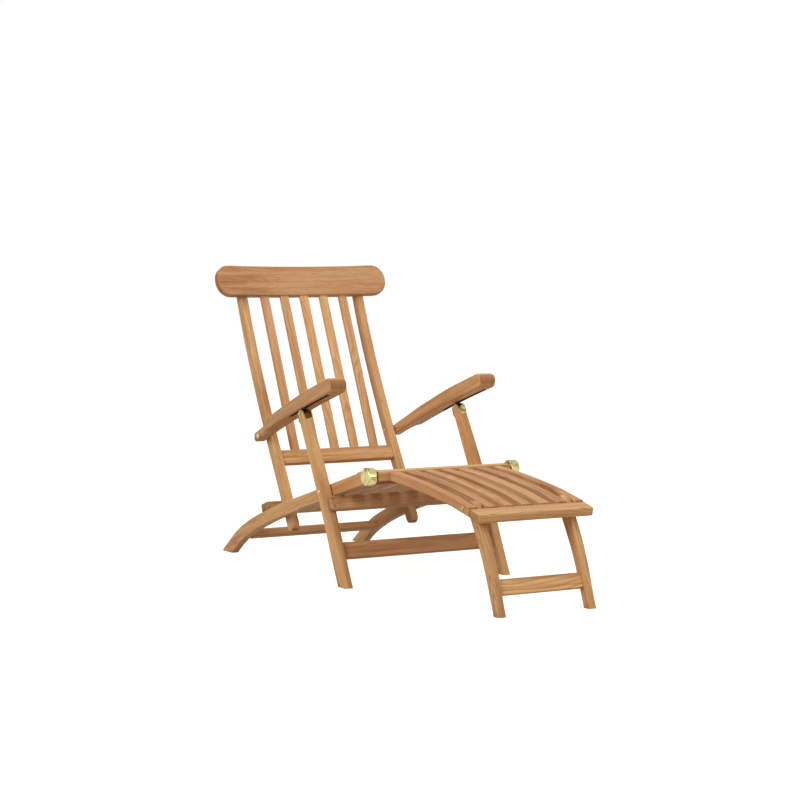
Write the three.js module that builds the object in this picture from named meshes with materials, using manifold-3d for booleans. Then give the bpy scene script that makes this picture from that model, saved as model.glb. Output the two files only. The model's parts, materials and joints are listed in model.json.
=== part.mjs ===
// A folding teak deck chair with a long footrest, in millimetres.
// X points to the sitter's feet, Y to the sitter's left and Z up. The feet stand at Z = 0.
// The back, the armrests, the front legs and the seat rails form a four-bar frame that folds
// forward, and the footrest turns on two round brass knees with a folding leg frame of its own.
import * as THREE from "three";
import { mergeVertices } from "three/addons/utils/BufferGeometryUtils.js";
import Module from "manifold-3d";

const wasm = await Module();
wasm.setup();

// Timber and clearances
const timber = 26; // thickness of the rails, stiles, legs and head rail
const edge = 2.5; // width of the eased edges
const softEdge = 5; // rounding of the armrests and the head rail
const fit = 0.35; // gap where two pieces meet
const overrun = 40; // how far a cutting tool runs past what it cuts

// Seat frame
const railSpread = 513; // across the outer faces of the seat rails
const kneeHeight = 335; // the footrest's hinge line above the floor
const seatSlope = 15.6; // degrees that the seat rises to the front
const railDepthFront = 38;
const railDepthBend = 41;
const railDepthFoot = 45;
const railStraight = 595; // from the knee back to where the rail starts to bend down
const railFootRun = 386; // from the bend back to the rear foot
const legPivotBack = 245; // from the knee back to the front legs' bolts
const backPivotBack = 598; // from the knee back to the back frame's bolts
const crossBarBehind = 86; // from the back's bolts to the rear cross bar
const crossBarWidth = 46;
const crossBarHeight = 36;
const crossBarProud = 24; // how far its top stands above the rails
const rearStretcherBehind = 254; // from the back's bolts to the low rear stretcher
const rearStretcherWidth = 28;
const rearStretcherHeight = 16;
const seatSlatHeight = 12;
const seatSlatGap = 22.5;
const seatSlatMargin = 30; // between the outer slats and the rails
const seatSlats = 7;
const seatSlatBelow = 3; // the slats' tops under the rails' top edges
const frontRailWidth = 24;

// Back frame
const backWasher = 3; // between stile and seat rail
const stileRun = 374; // how far the stile's top lies behind its bolt
const stileRise = 733; // and above it
const stileTail = 70; // how far the stile hangs below its bolt
const stileDepthFoot = 38;
const stileDepthTop = 31;
const lowRailRise = 157; // the lower back rail above the back's bolts
const lowRailHeight = 47;
const lowRailWidth = 22;
const backSlatWidth = 29;
const backSlatHeight = 12;
const backSlatSet = 2.5; // the slats' middle plane behind that of the rails they join
const backSlats = 5;
const headLength = 620;
const headHeight = 99;
const headRound = 45;
const headRise = 708; // the head rail's centre above the back's bolts
const headAhead = 22; // the head rail's middle plane before the stiles' centreline
const headBow = 12; // its ends stand forward of its middle
const headSag = 1.5; // its top edge dips in the middle

// Armrests
const armWasher = 3.5; // between stile and armrest
const armWidth = 57;
const armPivotRise = 228; // the armrest's bolt above the back's bolts
const armRun = 526;
const armRise = 188;
const armDepthRear = 29;
const armDepthFront = 45;
const armTail = 12; // the tongue's rounding centre behind the bolt
const tongueWidth = 31;
const tongueAhead = 38; // from the bolt to where the tongue widens
const shoulderAhead = 100; // from the bolt to the full width
const slotWidth = 13;
const slotDepth = 14;
const slotBehind = 95; // from the latch back to the slot's end
const slotNose = 22; // from the slot's front end to the middle of the armrest's round nose
const rackHeight = 3;
const notchDepth = 1.6;
const notchWidth = 7;
const notches = 5;
const notchesBehind = 1; // those behind the latch as the chair stands
const notchPitch = 29; // between two reclining places
const latchAhead = 339; // from the armrest's bolt forward to the latch
const latchClear = 2.2; // between the latch cap and the armrest

// Front leg frame
const legWasher = 3.5; // between leg and seat rail
const legFootAhead = 143; // the foot before the leg's bolt
const legBow = 9; // how far the leg bows forward at its bolt
const legDepthFoot = 45;
const legDepthMiddle = 48;
const legDepthTop = 36;
const apronHeight = 45;
const apronWidth = 20;
const apronRound = 9;
const apronClear = 0.6; // under the seat rails, which rest on it when loaded
const stretcherRise = 101;
const stretcherHeight = 50;
const stretcherWidth = 20;
const plugRadius = 4;
const plugDepth = 1.2;
const plugSpacing = 22;

// Brass and steel
const boltRadius = 4;
const boltHead = 7.5;
const boltDome = 3.6;
const collarRadius = 9;
const boltClear = 0.4;
const boltCover = 7; // timber left over the outer ends of the back's bolts
const capWall = 1.5;
const capReach = 24; // how far the cap's round ends run down the leg below its rounded top
const latchWidth = 5;
const latchLength = 16;
const latchReach = 7; // how far the latch stands above the cap, inside the slot
const kneeRadius = 26;
const kneeWall = 1.8;
const kneeRound = 5;
const strapLength = 56; // the strap on top of the rail, from the hinge line
const strapUnder = 34; // the strap below the rail
const strapWall = 2;
const strapWidth = 22;
const spigotRadius = 8;
const spigotLength = 18;

// Footrest
const restWidth = 374; // across its side rails
const barWidth = 44;
const barHeight = 29;
const barAhead = 3; // the rear bar's centre before the hinge line
const barRise = 1.5; // and above it
const barShoulder = 3; // between the bar's ends and the brass knees
const restRun = 490; // from the hinge line forward to the end rail's centre
const restDrop = 67; // and down to it
const restRailDepth = 27.5;
const restSlatHeight = 20;
const restSlatGap = 22;
const restSlats = 5;
const endRailWidth = 54;
const endRailHeight = 26;
const endRailSlope = -13; // degrees
const restLegBack = 62; // from the end rail back to the footrest legs' bolts
const restLegAhead = 132; // the foot before the bolt
const restLegBow = 5.5;
const restLegDepthTop = 38;
const restLegDepthFoot = 25;
const restLegGap = 0.5; // between leg and side rail
const restStretcherRise = 74;
const restStretcherHeight = 40;
const restStretcherWidth = 18;

// Shapes of the curves, as shares of the run and the rise that each one follows
const railFootShares = [[0.27, 0.189], [0.52, 0.39], [0.77, 0.649], [1, 1]];
const stileShares = [
  [0.153, 0.138], [0.34, 0.3], [0.519, 0.465], [0.684, 0.628], [0.834, 0.791], [0.963, 0.955], [1, 1],
];
const armShares = [[0.215, 0.243], [0.338, 0.378], [0.46, 0.503], [0.698, 0.738], [1, 1]];
const armSwellShares = [[0, 0], [0.2, 0.16], [0.34, 0.44], [0.46, 0.62], [0.7, 0.9], [1, 1]];
const domeShares = [[0, 1], [0.5, 0.85], [0.86, 0.5], [1, 0]];
const headShares = [-0.75, -0.5, -0.25, 0, 0.25, 0.5, 0.75];
const restShares = [[0.284, 0.148], [0.514, 0.34], [0.739, 0.57], [0.847, 0.733], [0.945, 0.88], [1, 0.96]];

// Places across the chair, from its middle plane to the sitter's left
const railOuter = railSpread / 2;
const railInner = railOuter - timber;
const stileOuter = railInner - backWasher;
const stileInner = stileOuter - timber;
const legInner = railOuter + legWasher;
const legOuter = legInner + timber;
const armInner = stileOuter + armWasher;
const armOuter = armInner + armWidth;
const tongueOuter = armInner + tongueWidth;
const slotMiddle = (legInner + legOuter) / 2;
const restOuter = restWidth / 2;
const restInner = restOuter - timber;
const restLegOuter = restInner - restLegGap;
const restLegInner = restLegOuter - timber;
const kneeInner = railInner - kneeWall;
const kneeOuter = railOuter + kneeWall;
const barEnd = kneeInner - barShoulder;
const boltEnd = railOuter - boltCover; // the outer ends of the back's bolts, blind in the rails
const seatSlatPitch = (2 * (railInner - seatSlatMargin) + seatSlatGap) / seatSlats;
const seatSlatWidth = seatSlatPitch - seatSlatGap;
const backSlatGap = (2 * stileInner - backSlats * backSlatWidth) / (backSlats + 1);
const backSlatPitch = backSlatWidth + backSlatGap;
const restSlatPitch = (2 * (restLegInner - restLegGap) + restSlatGap) / restSlats;
const restSlatWidth = restSlatPitch - restSlatGap;

// Finishes
const finishes = {
  teak: { color: 0xc08a5c, roughness: 0.6, metalness: 0 },
  brass: { color: 0xd8c27a, roughness: 0.22, metalness: 1 },
  steel: { color: 0x17171a, roughness: 0.45, metalness: 0.7 },
};
const round = 16; // sides of a round piece
const noseSides = 28; // sides of the circle that rounds a board's end
const quarterTurn = 90;
const cornerTurns = [0, 45, 90]; // degrees at which a rounded corner has its points
const quarterTurns = [0, 30, 60, 90]; // and a larger one
const headTurns = [0, 15, 30, 45, 60, 75, 90]; // and one of the head rail's corners
const chair = new THREE.Group();

// Points and directions of the side view
const point = (x, z) => new THREE.Vector2(x, z);
const turned = (degrees) => point(1, 0).rotateAround(point(0, 0), THREE.MathUtils.degToRad(degrees));
const ahead = (from, direction, distance) => from.clone().addScaledVector(direction, distance);
const leftOf = (direction) => point(-direction.y, direction.x);
const slopeOf = (direction) => Math.atan2(direction.y, direction.x);

// The joined and cut solids
function solid(geometry) {
  const bare = geometry.index ? geometry.toNonIndexed() : geometry.clone();
  bare.deleteAttribute("normal");
  bare.deleteAttribute("uv");
  const merged = mergeVertices(bare);
  const corners = merged.index.array;
  const kept = [];
  for (let i = 0; i < corners.length; i += 3) {
    const face = Array.from(corners.slice(i, i + 3));
    if (new Set(face).size === 3) {
      kept.push(...face);
    }
  }
  const triVerts = new Uint32Array(kept);
  const vertProperties = merged.attributes.position.array;
  return new wasm.Manifold(new wasm.Mesh({ numProp: 3, vertProperties, triVerts }));
}

function surface(body) {
  const { vertProperties, triVerts } = body.getMesh();
  const geometry = new THREE.BufferGeometry();
  geometry.setAttribute("position", new THREE.BufferAttribute(vertProperties, 3));
  geometry.setIndex(new THREE.BufferAttribute(triVerts, 1));
  geometry.computeVertexNormals();
  return geometry;
}

function place(name, body, finish) {
  const mesh = new THREE.Mesh(surface(body), new THREE.MeshStandardMaterial(finishes[finish]));
  mesh.name = name;
  chair.add(mesh);
}

// Both sides of the chair: the sitter's right is at -Y, the left at +Y.
function onBothSides(build) {
  for (const [side, sign] of [["right", -1], ["left", 1]]) {
    build(side, sign);
  }
}

// Outlines
function rectangle(width, height, radius = 0) {
  const turns = radius > 0 ? cornerTurns : [0];
  const corners = [[1, 1], [-1, 1], [-1, -1], [1, -1]];
  return new THREE.Shape(corners.flatMap(([across, up], i) => {
    const centre = point(across * (width / 2 - radius), up * (height / 2 - radius));
    return turns.map((turn) => ahead(centre, turned(i * quarterTurn + turn), radius));
  }));
}

const curveThrough = (points) => new THREE.SplineCurve(points);

// A depth that changes along a member, from pairs of a share of its length and a depth there.
function depthAt(pairs, share) {
  const next = Math.max(1, pairs.findIndex(([at]) => at >= share));
  const [[from, start], [to, end]] = [pairs[next - 1], pairs[next]];
  return THREE.MathUtils.lerp(start, end, (share - from) / (to - from));
}

// The share of a curve's length at which it passes a given x or y, by halving.
function shareWhere(curve, axis, value) {
  let [low, high] = [0, 1];
  const rising = curve.getPointAt(1)[axis] > curve.getPointAt(0)[axis];
  for (let pass = 0; pass < 30; pass++) {
    const middle = (low + high) / 2;
    const before = curve.getPointAt(middle)[axis] < value;
    [low, high] = before === rising ? [middle, high] : [low, middle];
  }
  return low;
}

// A band that follows a curve between two offsets, which may change along it, seen from the side.
function band(curve, upper, lower, options = {}) {
  const { from = 0, to = 1, steps = 12, roundStart, roundEnd, runOutStart = 0, runOutEnd = 0 } = options;
  const sideAt = (share, offset, runOut = 0) => {
    const along = curve.getTangentAt(share);
    return ahead(ahead(curve.getPointAt(share), leftOf(along), offset(share)), along, runOut);
  };
  const side = (offset) => Array.from({ length: steps + 1 }, (_, i) => {
    const runOut = i === 0 ? -runOutStart : i === steps ? runOutEnd : 0;
    return sideAt(THREE.MathUtils.lerp(from, to, i / steps), offset, runOut);
  });
  const cap = (share, first) => {
    const centre = sideAt(share, (at) => (upper(at) + lower(at)) / 2);
    const slope = THREE.MathUtils.radToDeg(slopeOf(curve.getTangentAt(share)));
    const turns = Array.from({ length: noseSides / 2 - 1 }, (_, i) => first - (360 * (i + 1)) / noseSides);
    return turns.map((turn) => ahead(centre, turned(slope + turn), (upper(share) - lower(share)) / 2));
  };
  const end = roundEnd ? cap(to, 90) : [];
  const start = roundStart ? cap(from, -90) : [];
  return new THREE.Shape([...side(upper), ...end, ...side(lower).reverse(), ...start]);
}

const evenBand = (depth) => [() => depth / 2, () => -depth / 2];
const taperedBand = (pairs) => [(share) => depthAt(pairs, share) / 2, (share) => -depthAt(pairs, share) / 2];

// Solids from outlines
function extruded(shape, depth, ease = 0, easeSteps = 1) {
  const options = { depth: depth - 2 * ease, steps: 1, curveSegments: 4 };
  Object.assign(options, { bevelEnabled: ease > 0, bevelSegments: easeSteps });
  Object.assign(options, { bevelThickness: ease, bevelSize: ease, bevelOffset: -ease });
  const board = new THREE.ExtrudeGeometry(shape, options);
  return board.translate(0, 0, ease - depth / 2);
}

// A board drawn from the side, its thickness across the chair about the plane y.
function sideBoard(shape, thickness, y, ease = edge, easeSteps = 1) {
  return solid(extruded(shape, thickness, ease, easeSteps).rotateX(Math.PI / 2).translate(0, y, 0));
}

// A closed skin over a row of rings of corners, each ring running out and back, its ends filled.
function skinned(rings) {
  const count = rings[0].length;
  const last = (rings.length - 1) * count;
  const index = [];
  const quad = (a, b, c, d) => index.push(a, b, c, a, c, d);
  for (let start = 0; start < last; start += count) {
    for (let j = 0; j < count; j++) {
      const next = (j + 1) % count;
      quad(start + j, start + count + j, start + count + next, start + next);
    }
  }
  for (let j = 0; j + 1 < count / 2; j++) {
    quad(j, j + 1, count - 2 - j, count - 1 - j);
    quad(last + j, last + count - 1 - j, last + count - 2 - j, last + j + 1);
  }
  return new THREE.BufferGeometry().setFromPoints(rings.flat()).setIndex(index);
}

// A bar across the chair: its section, its length, its slope in radians and its centre.
function crossPiece(section, length, slope, centre, ease = 0) {
  const geometry = extruded(section, length, ease).rotateX(Math.PI / 2).rotateY(-slope);
  return solid(geometry.translate(centre.x, 0, centre.y));
}

// A round piece on a line across the chair, from its profile of radius and place.
function turnedPiece(profile, at) {
  const points = profile.map(([radius, y]) => point(radius, y));
  return solid(new THREE.LatheGeometry(points, round).translate(at.x, 0, at.y));
}

// A flat board square to a member, drawn in the view along it: X across the chair, Y up the member.
function facing(shape, depth, direction, centre, ease = 0) {
  const [forwards, leftwards, upwards] = [0, 1, 2].map((axis) => new THREE.Vector3().setComponent(axis, 1));
  const upright = new THREE.Matrix4().makeBasis(leftwards, upwards, forwards);
  const geometry = extruded(shape, depth, ease).applyMatrix4(upright);
  return solid(geometry.rotateY(Math.PI / 2 - slopeOf(direction)).translate(centre.x, 0, centre.y));
}

const rod = (radius, at, from, to) => turnedPiece([[0, from], [radius, from], [radius, to], [0, to]], at);

// A bolt across the chair: a domed head or a plain end, a shaft and a collar between two pieces.
function bolt(at, sign, headAt, end, { collar, plain } = {}) {
  const domed = domeShares.map(([out, up]) => [out * boltHead, headAt + up * boltDome]);
  const dome = plain ? [[0, headAt]] : domed;
  const [from, to] = collar ?? [];
  const rings = [[boltRadius, to], [collarRadius, to], [collarRadius, from], [boltRadius, from]];
  const shaft = [[boltRadius, headAt], ...(collar ? rings : []), [boltRadius, end], [0, end]];
  const body = turnedPiece([...dome, ...shaft].reverse(), at);
  return sign > 0 ? body : body.mirror([0, 1, 0]);
}

const boltHole = (at) => rod(boltRadius + boltClear, at, -armOuter - overrun, armOuter + overrun);
const groundTool = new THREE.BoxGeometry(4 * railStraight, 4 * railStraight, 4 * overrun);
const belowFloor = solid(groundTool.translate(0, 0, -2 * overrun));

// Side-view layout of the seat frame
const knee = point(0, kneeHeight);
const railAlong = turned(seatSlope);
const railUp = leftOf(railAlong);
const legPivot = ahead(knee, railAlong, -legPivotBack);
const backPivot = ahead(knee, railAlong, -backPivotBack);
const railBend = ahead(knee, railAlong, -railStraight);
const straightShares = [0, 0.33, 0.67, 1];
const railLine = curveThrough([
  ...straightShares.map((share) => knee.clone().lerp(railBend, share)),
  ...railFootShares.map(([run, drop]) => point(railBend.x - run * railFootRun, railBend.y * (1 - drop))),
]);
const railDepths = [[0, railDepthFront], [0.6, railDepthBend], [1, railDepthFoot]];
const railOutline = (spare) => band(
  railLine,
  (share) => depthAt(railDepths, share) / 2 + spare,
  (share) => -depthAt(railDepths, share) / 2 - spare,
  { steps: 22, roundStart: true, runOutEnd: overrun },
);

// Side-view layout of the back frame
const stileLine = curveThrough([
  backPivot.clone(),
  ...stileShares.map(([run, rise]) => point(backPivot.x - run * stileRun, backPivot.y + rise * stileRise)),
]);
const stileStart = stileLine.getTangentAt(0);
const stileDepths = [[0, stileDepthFoot], [1, stileDepthTop]];
const onStile = (rise) => {
  const share = shareWhere(stileLine, "y", backPivot.y + rise);
  return { at: stileLine.getPointAt(share), along: stileLine.getTangentAt(share) };
};
const lowRail = onStile(lowRailRise);
const headOn = onStile(headRise);
const headCentre = ahead(headOn.at, leftOf(headOn.along), -headAhead);
const headSlope = slopeOf(headOn.along) - Math.PI / 2;
const slatFoot = ahead(lowRail.at, leftOf(lowRail.along), backSlatSet);
const headFoot = ahead(headCentre, headOn.along, -headHeight / 2 + softEdge);
const slatTop = ahead(headFoot, leftOf(headOn.along), backSlatSet);

// Side-view layout of the armrests and of the latch that the front legs carry
const armPivot = onStile(armPivotRise).at;
const armStart = point(armShares[0][0] * armRun, armShares[0][1] * armRise).normalize();
const armLine = curveThrough([
  ahead(armPivot, armStart, -armTail),
  ...armShares.map(([run, rise]) => point(armPivot.x + run * armRun, armPivot.y + rise * armRise)),
]);
const swollen = (swell) => THREE.MathUtils.lerp(armDepthRear, armDepthFront, swell);
const armDepths = armSwellShares.map(([share, swell]) => [share, swollen(swell)]);
const latchShare = shareWhere(armLine, "x", armPivot.x + latchAhead);
const latchDrop = depthAt(armDepths, latchShare) / 2 + latchClear + capWall + fit + legDepthTop / 2;
const armAlong = armLine.getTangentAt(latchShare);
const latch = ahead(armLine.getPointAt(latchShare), leftOf(armAlong), -latchDrop);

// Side-view layout of the front legs
const legLine = curveThrough([
  point(legPivot.x + legFootAhead, 0),
  point(legPivot.x + legBow, legPivot.y),
  latch.clone(),
]);
const legSpan = legLine.getLength();
const legMiddleShare = shareWhere(legLine, "y", legPivot.y);
const legDepths = [[0, legDepthFoot], [legMiddleShare, legDepthMiddle], [1, legDepthTop]];
const onLeg = (height) => {
  const share = shareWhere(legLine, "y", height);
  const half = depthAt(legDepths, share) / 2;
  return { at: legLine.getPointAt(share), up: legLine.getTangentAt(share), half };
};
const legOutline = (spare, from = 0) => band(
  legLine,
  (share) => depthAt(legDepths, share) / 2 + spare,
  (share) => -depthAt(legDepths, share) / 2 - spare,
  { from, roundEnd: true, runOutStart: from > 0 ? 0 : overrun },
);

// Side-view layout of the footrest
const endRail = point(knee.x + restRun, knee.y - restDrop);
const endAlong = turned(endRailSlope);
const barCentre = point(knee.x + barAhead, knee.y + barRise);
const restLine = curveThrough([
  point(knee.x, barCentre.y),
  ...restShares.map(([run, drop]) =>
    point(knee.x + run * restRun, barCentre.y - drop * (restDrop + barRise))),
]);
const restLegPivot = restLine.getPointAt(shareWhere(restLine, "x", endRail.x - restLegBack));
const restFoot = point(restLegPivot.x + restLegAhead, 0);
const restLegDown = restFoot.clone().sub(restLegPivot).normalize();
const restLegMiddle = ahead(restFoot.clone().lerp(restLegPivot, 0.5), leftOf(restLegDown), restLegBow);
const restLegLine = curveThrough([restFoot, restLegMiddle, restLegPivot]);
const restLegDepths = [[0, restLegDepthFoot], [1, restLegDepthTop]];

// Seat frame
function seatRails() {
  const outline = railOutline(0);
  onBothSides((side, sign) => {
    const board = sideBoard(outline, timber, sign * (railInner + timber / 2)).subtract(belowFloor);
    const blindHole = rod(boltRadius + boltClear, backPivot, -boltEnd - boltClear, boltEnd + boltClear);
    place(`seat_rail_${side}`, board.subtract(boltHole(legPivot)).subtract(blindHole), "teak");
  });
}

const railTool = (spare) => {
  const outline = railOutline(spare);
  const board = (sign) => sideBoard(outline, timber + 2 * spare, sign * (railInner + timber / 2), 0);
  return board(-1).add(board(1));
};

function seatCrossBar() {
  const share = shareWhere(railLine, "x", backPivot.x - crossBarBehind);
  const along = railLine.getTangentAt(share).negate();
  const lift = depthAt(railDepths, share) / 2 + crossBarProud - crossBarHeight / 2;
  const centre = ahead(railLine.getPointAt(share), leftOf(along), lift);
  const section = rectangle(crossBarWidth, crossBarHeight, edge);
  const bar = crossPiece(section, railSpread, slopeOf(along), centre, edge / 2);
  place("seat_cross_bar", bar.subtract(railTool(fit)), "teak");
  const notch = rectangle(crossBarWidth + 2 * fit, crossBarHeight + 2 * fit);
  return crossPiece(notch, railSpread, slopeOf(along), centre);
}

function rearStretcher() {
  const share = shareWhere(railLine, "x", backPivot.x - rearStretcherBehind);
  const along = railLine.getTangentAt(share).negate();
  const drop = depthAt(railDepths, share) / 2 - rearStretcherHeight / 2 - edge;
  const centre = ahead(railLine.getPointAt(share), leftOf(along), -drop);
  const section = rectangle(rearStretcherWidth, rearStretcherHeight, edge);
  const stretcher = crossPiece(section, 2 * (railInner - fit), slopeOf(along), centre);
  place("rear_stretcher", stretcher, "teak");
}

// The seat slats lie on the hidden front rail and are let into the rear cross bar.
function seatSlatting(crossBar) {
  const barCorner = Math.hypot(barWidth / 2 + barAhead, barHeight / 2 + barRise);
  const frontEnd = -barCorner - edge;
  const top = railDepthFront / 2;
  const slatLevel = top - seatSlatBelow - seatSlatHeight / 2;
  const backEnd = -backPivotBack - crossBarBehind;
  const middle = ahead(ahead(knee, railAlong, (frontEnd + backEnd) / 2), railUp, slatLevel);
  const section = rectangle(seatSlatWidth, seatSlatHeight, edge);
  for (let i = 0; i < seatSlats; i++) {
    const y = (i - (seatSlats - 1) / 2) * seatSlatPitch;
    const slat = extruded(section, frontEnd - backEnd).rotateZ(Math.PI / 2).rotateY(Math.PI / 2);
    slat.rotateY(-slopeOf(railAlong)).translate(middle.x, y, middle.y);
    place(`seat_slat_${i + 1}`, solid(slat).subtract(crossBar), "teak");
  }
  const railHeight = railDepthFront - seatSlatBelow - seatSlatHeight - fit;
  const railAt = ahead(ahead(knee, railAlong, frontEnd - frontRailWidth / 2), railUp, -top + railHeight / 2);
  const railSection = rectangle(frontRailWidth, railHeight, edge);
  const rail = crossPiece(railSection, 2 * (railInner - fit), slopeOf(railAlong), railAt);
  place("seat_front_rail", rail, "teak");
}

// A round brass knee: a drum with a pocket for the rail's end, two straps along it and a spigot.
function knees() {
  onBothSides((side, sign) => {
    const innerFace = [[0, kneeInner], [kneeRadius - kneeRound, kneeInner]];
    innerFace.push([kneeRadius, kneeInner + kneeRound]);
    const outerRound = kneeRound / 2;
    const outerFace = [[kneeRadius, kneeOuter - outerRound], [kneeRadius - outerRound, kneeOuter]];
    outerFace.push([0, kneeOuter]);
    const spigot = rod(spigotRadius, knee, kneeInner - spigotLength, kneeInner + kneeWall / 2);
    let body = turnedPiece([...innerFace, ...outerFace], knee).add(spigot);
    const grip = railDepthFront / 2 + fit + strapWall;
    for (const [length, up] of [[strapLength, grip], [strapUnder, -grip]]) {
      const corners = [[0, 0], [-length, 0], [-length, up], [0, up]];
      const outline = new THREE.Shape(corners.map(([x, z]) => ahead(ahead(knee, railAlong, x), railUp, z)));
      body = body.add(sideBoard(outline, strapWidth, railInner + timber / 2, 0));
    }
    if (sign < 0) {
      body = body.mirror([0, 1, 0]);
    }
    place(`knee_${side}`, body.subtract(railTool(fit)), "brass");
  });
}

function pivotBolts() {
  onBothSides((side, sign) => {
    const behindRail = [stileOuter + fit, railInner - fit];
    const hidden = { collar: behindRail, plain: true };
    place(`back_bolt_${side}`, bolt(backPivot, sign, boltEnd, stileInner + edge, hidden), "brass");
    const besideRail = { collar: [railOuter + fit, legInner - fit] };
    place(`leg_bolt_${side}`, bolt(legPivot, sign, legOuter, railInner + edge, besideRail), "brass");
    const besideStile = { collar: [stileOuter + fit, armInner - fit] };
    place(`arm_bolt_${side}`, bolt(armPivot, sign, tongueOuter, stileInner - edge, besideStile), "brass");
    place(`footrest_bolt_${side}`, bolt(restLegPivot, sign, restOuter, restLegInner + edge), "brass");
  });
}

// Back frame: the head rail is bent in plan and let into the stiles' front faces.
function headRailSolid(spare) {
  const half = headLength / 2 + spare;
  const tall = headHeight / 2 + spare;
  const thick = timber / 2 + spare;
  const straight = half - headRound;
  const stations = [
    ...headTurns.map((turn) => [-straight, turned(180 - turn)]),
    ...headShares.map((share) => [share * straight, turned(90)]),
    ...headTurns.map((turn) => [straight, turned(turn)]).reverse(),
  ];
  const easing = quarterTurns.map((turn) => turned(turn).multiplyScalar(softEdge));
  const front = easing.map((way) => [softEdge - way.x, thick - softEdge + way.y]).reverse();
  const layers = [...front, ...front.map(([inset, out]) => [inset, -out]).reverse()];
  const rings = stations.map(([x, normal]) => {
    const sag = headSag * (1 - (x / half) ** 2);
    const corner = (sign, [inset, out]) => {
      const across = x + normal.x * (headRound - inset);
      const up = sign * (tall - headRound + normal.y * (headRound - inset));
      const bow = headBow * ((across / half) ** 2 - 0.5);
      return new THREE.Vector3(out + bow, across, sign > 0 ? up - sag : up);
    };
    const above = layers.map((layer) => corner(1, layer));
    return [...above, ...layers.map((layer) => corner(-1, layer)).reverse()];
  });
  return solid(skinned(rings).rotateY(-headSlope).translate(headCentre.x, 0, headCentre.y));
}

function backFrame() {
  const headTool = headRailSolid(fit);
  place("head_rail", headRailSolid(0), "teak");
  const outline = band(
    curveThrough([ahead(backPivot, stileStart, -stileTail + stileDepthFoot / 2), ...stileLine.points]),
    ...taperedBand(stileDepths),
    { steps: 16, roundStart: true },
  );
  onBothSides((side, sign) => {
    const board = sideBoard(outline, timber, sign * (stileInner + timber / 2));
    const holes = boltHole(backPivot).add(boltHole(armPivot));
    place(`stile_${side}`, board.subtract(holes).subtract(headTool), "teak");
  });
  const lowSlope = slopeOf(lowRail.along) - Math.PI / 2;
  const lowSection = (spare) => rectangle(lowRailWidth + 2 * spare, lowRailHeight + 2 * spare, edge);
  place("back_lower_rail", crossPiece(lowSection(0), 2 * (stileInner - fit), lowSlope, lowRail.at), "teak");
  const lowTool = crossPiece(lowSection(fit), 2 * stileInner, lowSlope, lowRail.at);
  const along = slatTop.clone().sub(slatFoot);
  const middle = slatFoot.clone().lerp(slatTop, 0.5);
  for (let i = 0; i < backSlats; i++) {
    const y = (i - (backSlats - 1) / 2) * backSlatPitch;
    const section = rectangle(backSlatWidth, backSlatHeight, edge);
    const slat = extruded(section, along.length()).rotateZ(Math.PI / 2);
    slat.rotateY(Math.PI / 2 - slopeOf(along)).translate(middle.x, y, middle.y);
    place(`back_slat_${i + 1}`, solid(slat).subtract(lowTool).subtract(headTool), "teak");
  }
}

// Armrests: a swelling curve seen from the side, thinned to a tongue at the rear, slotted below.
function armrests() {
  const outline = band(armLine, ...taperedBand(armDepths), { steps: 16, roundStart: true, roundEnd: true });
  const shareOf = (distance) => distance / armLine.getLength();
  const slotFrom = latchShare - shareOf(slotBehind);
  const slotTo = 1 - shareOf(slotNose);
  const under = (share) => -depthAt(armDepths, share) / 2;
  const below = (share) => under(share) - overrun;
  const slotTop = (share) => under(share) + slotDepth;
  const slotOutline = band(armLine, slotTop, below, { from: slotFrom, to: slotTo });
  const rackTop = (share) => under(share) + slotDepth - fit;
  const rackEnds = { from: slotFrom + shareOf(fit), to: slotTo - shareOf(fit) };
  const rackOutline = band(armLine, rackTop, (share) => rackTop(share) - rackHeight, rackEnds);
  const notchTools = Array.from({ length: notches }, (_, i) => {
    const middle = latchShare + shareOf((i - notchesBehind) * notchPitch);
    const span = shareOf(notchWidth / 2);
    const notchTop = (share) => rackTop(share) - rackHeight + notchDepth;
    const notch = band(armLine, notchTop, below, { from: middle - span, to: middle + span, steps: 1 });
    return sideBoard(notch, slotWidth, slotMiddle, 0);
  });
  const shoulder = new THREE.Shape();
  shoulder.moveTo(-overrun - armTail, tongueOuter).lineTo(tongueAhead, tongueOuter);
  shoulder.quadraticCurveTo(shoulderAhead, tongueOuter, shoulderAhead, armOuter + edge);
  shoulder.lineTo(shoulderAhead, armOuter + overrun).lineTo(-overrun - armTail, armOuter + overrun);
  const shoulderTool = solid(extruded(shoulder, 4 * armRise).translate(armPivot.x, 0, armPivot.y));
  onBothSides((side, sign) => {
    const mirror = (body) => (sign > 0 ? body : body.mirror([0, 1, 0]));
    const slot = sideBoard(slotOutline, slotWidth, slotMiddle, 0);
    const board = sideBoard(outline, armWidth, armInner + armWidth / 2, softEdge, 2);
    const cut = board.subtract(shoulderTool).subtract(slot).subtract(boltHole(armPivot));
    place(`armrest_${side}`, mirror(cut), "teak");
    let rack = sideBoard(rackOutline, slotWidth - 2 * fit, slotMiddle, 0);
    for (const notch of notchTools) {
      rack = rack.subtract(notch);
    }
    place(`arm_rack_${side}`, mirror(rack), "steel");
  });
}

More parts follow.
